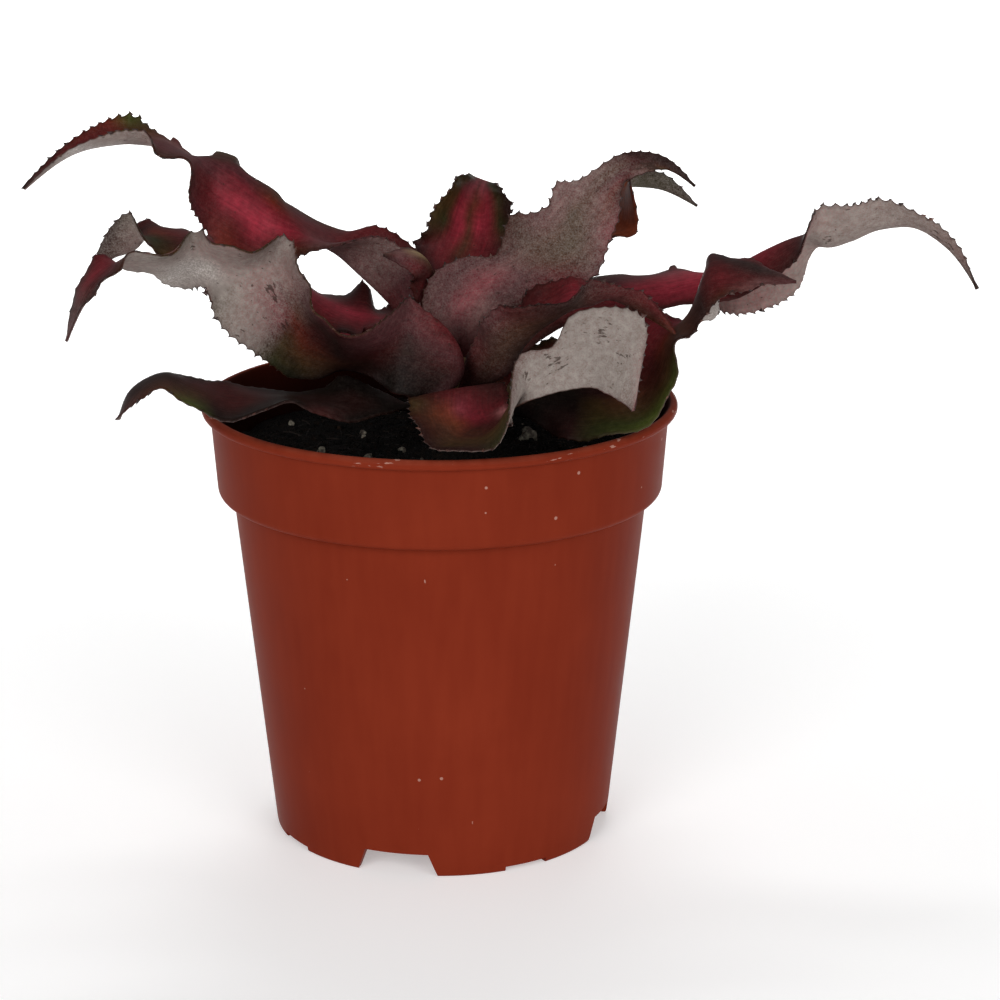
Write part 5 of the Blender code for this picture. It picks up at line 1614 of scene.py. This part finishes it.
def spine_shape():
    """A flattened hooked cone: Z points out of the margin, Y along it, X out of the leaf's face.
    It is 1 unit long, and its foot is sunk in the margin."""
    levels = ((-0.7, 1.0, 0.4, 0.0), (-0.1, 0.62, 0.34, 0.0), (0.3, 0.32, 0.2, 0.05),
              (0.68, 0.14, 0.11, 0.16))
    built = bmesh.new()
    rings = []
    for height, along_half, face_half, lean in levels:
        angles = [2 * math.pi * k / 6 for k in range(6)]
        rings.append([
            built.verts.new((face_half * math.cos(a), along_half * math.sin(a) + lean, height))
            for a in angles
        ])
    point = built.verts.new((0.0, 0.36, 1.0))
    join_rings(built, rings[::-1])
    for k in range(6):
        built.faces.new((rings[-1][k], rings[-1][(k + 1) % 6], point))
    built.faces.new(rings[0][::-1])
    return linked(built, "spine_shape")


def spine_places(seed, node):
    """Where a spine stands on each tooth of a leaf: its foot, the way it points, the leaf's face
    and its size."""
    grid, normals, teeth, along = surfaces[node]
    picker = np.random.default_rng(seed + 100)
    found = []
    for side, phase, edge, inner in ((-1, teeth[0], 0, 3), (1, teeth[1], -1, -4)):
        line = grid[:, edge]
        for tooth in range(2, int(phase[-1])):
            row = int(np.searchsorted(phase, tooth))
            row -= int(phase[row] - tooth > tooth - phase[row - 1])
            row = min(max(row, 2), len(line) - 3)
            width = np.linalg.norm(grid[row, 0] - grid[row, -1])
            tangent = unit(line[row + 2] - line[row - 2])
            out = line[row] - grid[row, inner]
            out = unit(out - tangent * (out @ tangent))
            aim = unit(out + tangent * (SPINE_TO_TIP + 0.25 * picker.random()))
            size = SPINE_LENGTH * (0.6 + 0.6 * picker.random())
            size *= 0.5 + 0.5 * smooth_step(1.0 * MM, 6.0 * MM, width)
            run = along[row] / along[-1]
            size *= smooth_step(*FIRST_TEETH, run) * min(1.0, tooth_factor(node, side, run))
            if size > 0.2 * MM:
                found.append((line[row], aim, normals[row, edge], size))
    return found


def spine_tree():
    """Nodes that set a spine on every point, turned and sized by the point's own values."""
    tree, given = new_tree("spines_on_margins", {
        "Places": "Geometry", "Spine": "Object", "Length": "Float", "Finish": "Material",
    })

    def read(name, kind):
        return add_node(
            tree, "GeometryNodeInputNamedAttribute", {"Name": name}, data_type=kind
        ).outputs["Attribute"]

    points = add_node(tree, "GeometryNodeMeshToPoints", {"Mesh": given["Places"]}).outputs[0]
    aim, face = (read(name, "FLOAT_VECTOR") for name in ("aim", "face"))
    turn = add_node(
        tree, "FunctionNodeAxesToRotation", {"Primary Axis": aim, "Secondary Axis": face},
        primary_axis="Z", secondary_axis="X",
    ).outputs[0]
    size = add_node(
        tree, "ShaderNodeMath", (read("size", "FLOAT"), given["Length"]), operation="MULTIPLY"
    ).outputs[0]
    give_copies(tree, points, given["Spine"], turn, size, given["Finish"])
    return tree


def spine_horn():
    """Hard, dry plant tissue: brown-red at the foot and straw-coloured at some points."""
    stops = [(0.35, "#1E0F0B"), (0.55, "#341811"), (0.68, "#5A372B")]
    return mottled("dry_spine_horn", 5.0 * MM, 2.0, stops, Roughness=0.5)[0]


spots = [spot for seed, node in enumerate(surfaces) for spot in spine_places(seed, node)]
margin_mesh = bpy.data.meshes.new("spine_places")
margin_mesh.from_pydata([tuple(spot[0]) for spot in spots], [], [])
give_points(margin_mesh, "aim", "FLOAT_VECTOR", [spot[1] for spot in spots])
give_points(margin_mesh, "face", "FLOAT_VECTOR", [spot[2] for spot in spots])
give_points(margin_mesh, "size", "FLOAT", [spot[3] / SPINE_LENGTH for spot in spots])
spine_host = link_new("spine_host", margin_mesh)
spine_model = spine_shape()
with_inputs(spine_host, spine_tree(), {
    "Spine": spine_model, "Length": SPINE_LENGTH, "Finish": spine_horn(),
})
spines = finished_mesh(spine_host, "margin_spines")
bpy.data.objects.remove(spine_model)
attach(spines, "root")


# ---------------------------------------------------------------------------------------------
# Stage. A plain pale floor and soft studio light: two large panels to the left and right of the
# front, a weaker one behind, one on the floor behind the pot and a pale surround.
# ---------------------------------------------------------------------------------------------

def studio_floor():
    """A sheet of opal acrylic, lit a little from below."""
    bpy.ops.mesh.primitive_plane_add(size=6.0)
    made = bpy.context.active_object
    made.name = "studio_floor"
    material, _, _ = new_material(
        "opal_acrylic_sheet", Base_Color=linear("#EDEDED"), Roughness=0.8,
        Emission_Color=(1.0, 1.0, 1.0, 1.0), Emission_Strength=0.34,
    )
    made.data.materials.append(material)


def soft_panel(name, place, target, size, power, spread_deg=180, mirrored=True):
    """An area light that faces the target. A grid over it narrows its spread, and one that isn't
    mirrored shows in no reflection."""
    data = bpy.data.lights.new(name, "AREA")
    data.shape = "DISK"
    data.size = size
    data.energy = power
    data.spread = math.radians(spread_deg)
    made = bpy.data.objects.new(name, data)
    bpy.context.scene.collection.objects.link(made)
    made.location = place
    made.visible_glossy = mirrored
    aim = Vector(target) - Vector(place)
    made.rotation_euler = aim.to_track_quat("-Z", "Y").to_euler()


studio_floor()
plant_middle = (0.0, 0.0, 90 * MM)
soft_panel("left_panel", (-0.55, -1.15, 0.65), plant_middle, 0.8, 8.3)
soft_panel("right_panel", (0.65, -1.12, 0.5), plant_middle, 0.8, 7.3)
soft_panel("rear_panel", (0.2, 1.3, 0.4), plant_middle, 0.8, 4.0, mirrored=False)
soft_panel("floor_panel", (0.0, 1.3, 1.5), (0.0, 0.95, 0.0), 1.2, 7.0, 60, mirrored=False)

world = bpy.data.worlds.new("pale_surround")
bpy.context.scene.world = world
world.use_nodes = True
surround = world.node_tree.nodes["Background"].inputs
surround["Color"].default_value = (1.0, 1.0, 1.0, 1.0)
surround["Strength"].default_value = 0.22
bpy.context.scene.view_settings.view_transform = "Standard"

# The camera stands 0.6 m in front of the plant and looks a little down on it.
VIEW_DOWN_DEG = 16.4
VIEW_TURN_DEG = -1.15
camera_data = bpy.data.cameras.new("view")
camera_data.lens = 111.4
camera_data.sensor_width = 36.0
camera = bpy.data.objects.new("view", camera_data)
bpy.context.scene.collection.objects.link(camera)
camera.location = (-12.0 * MM, -581.5 * MM, 234.0 * MM)
camera.rotation_euler = (math.radians(90 - VIEW_DOWN_DEG), 0.0, math.radians(VIEW_TURN_DEG))
bpy.context.scene.camera = camera
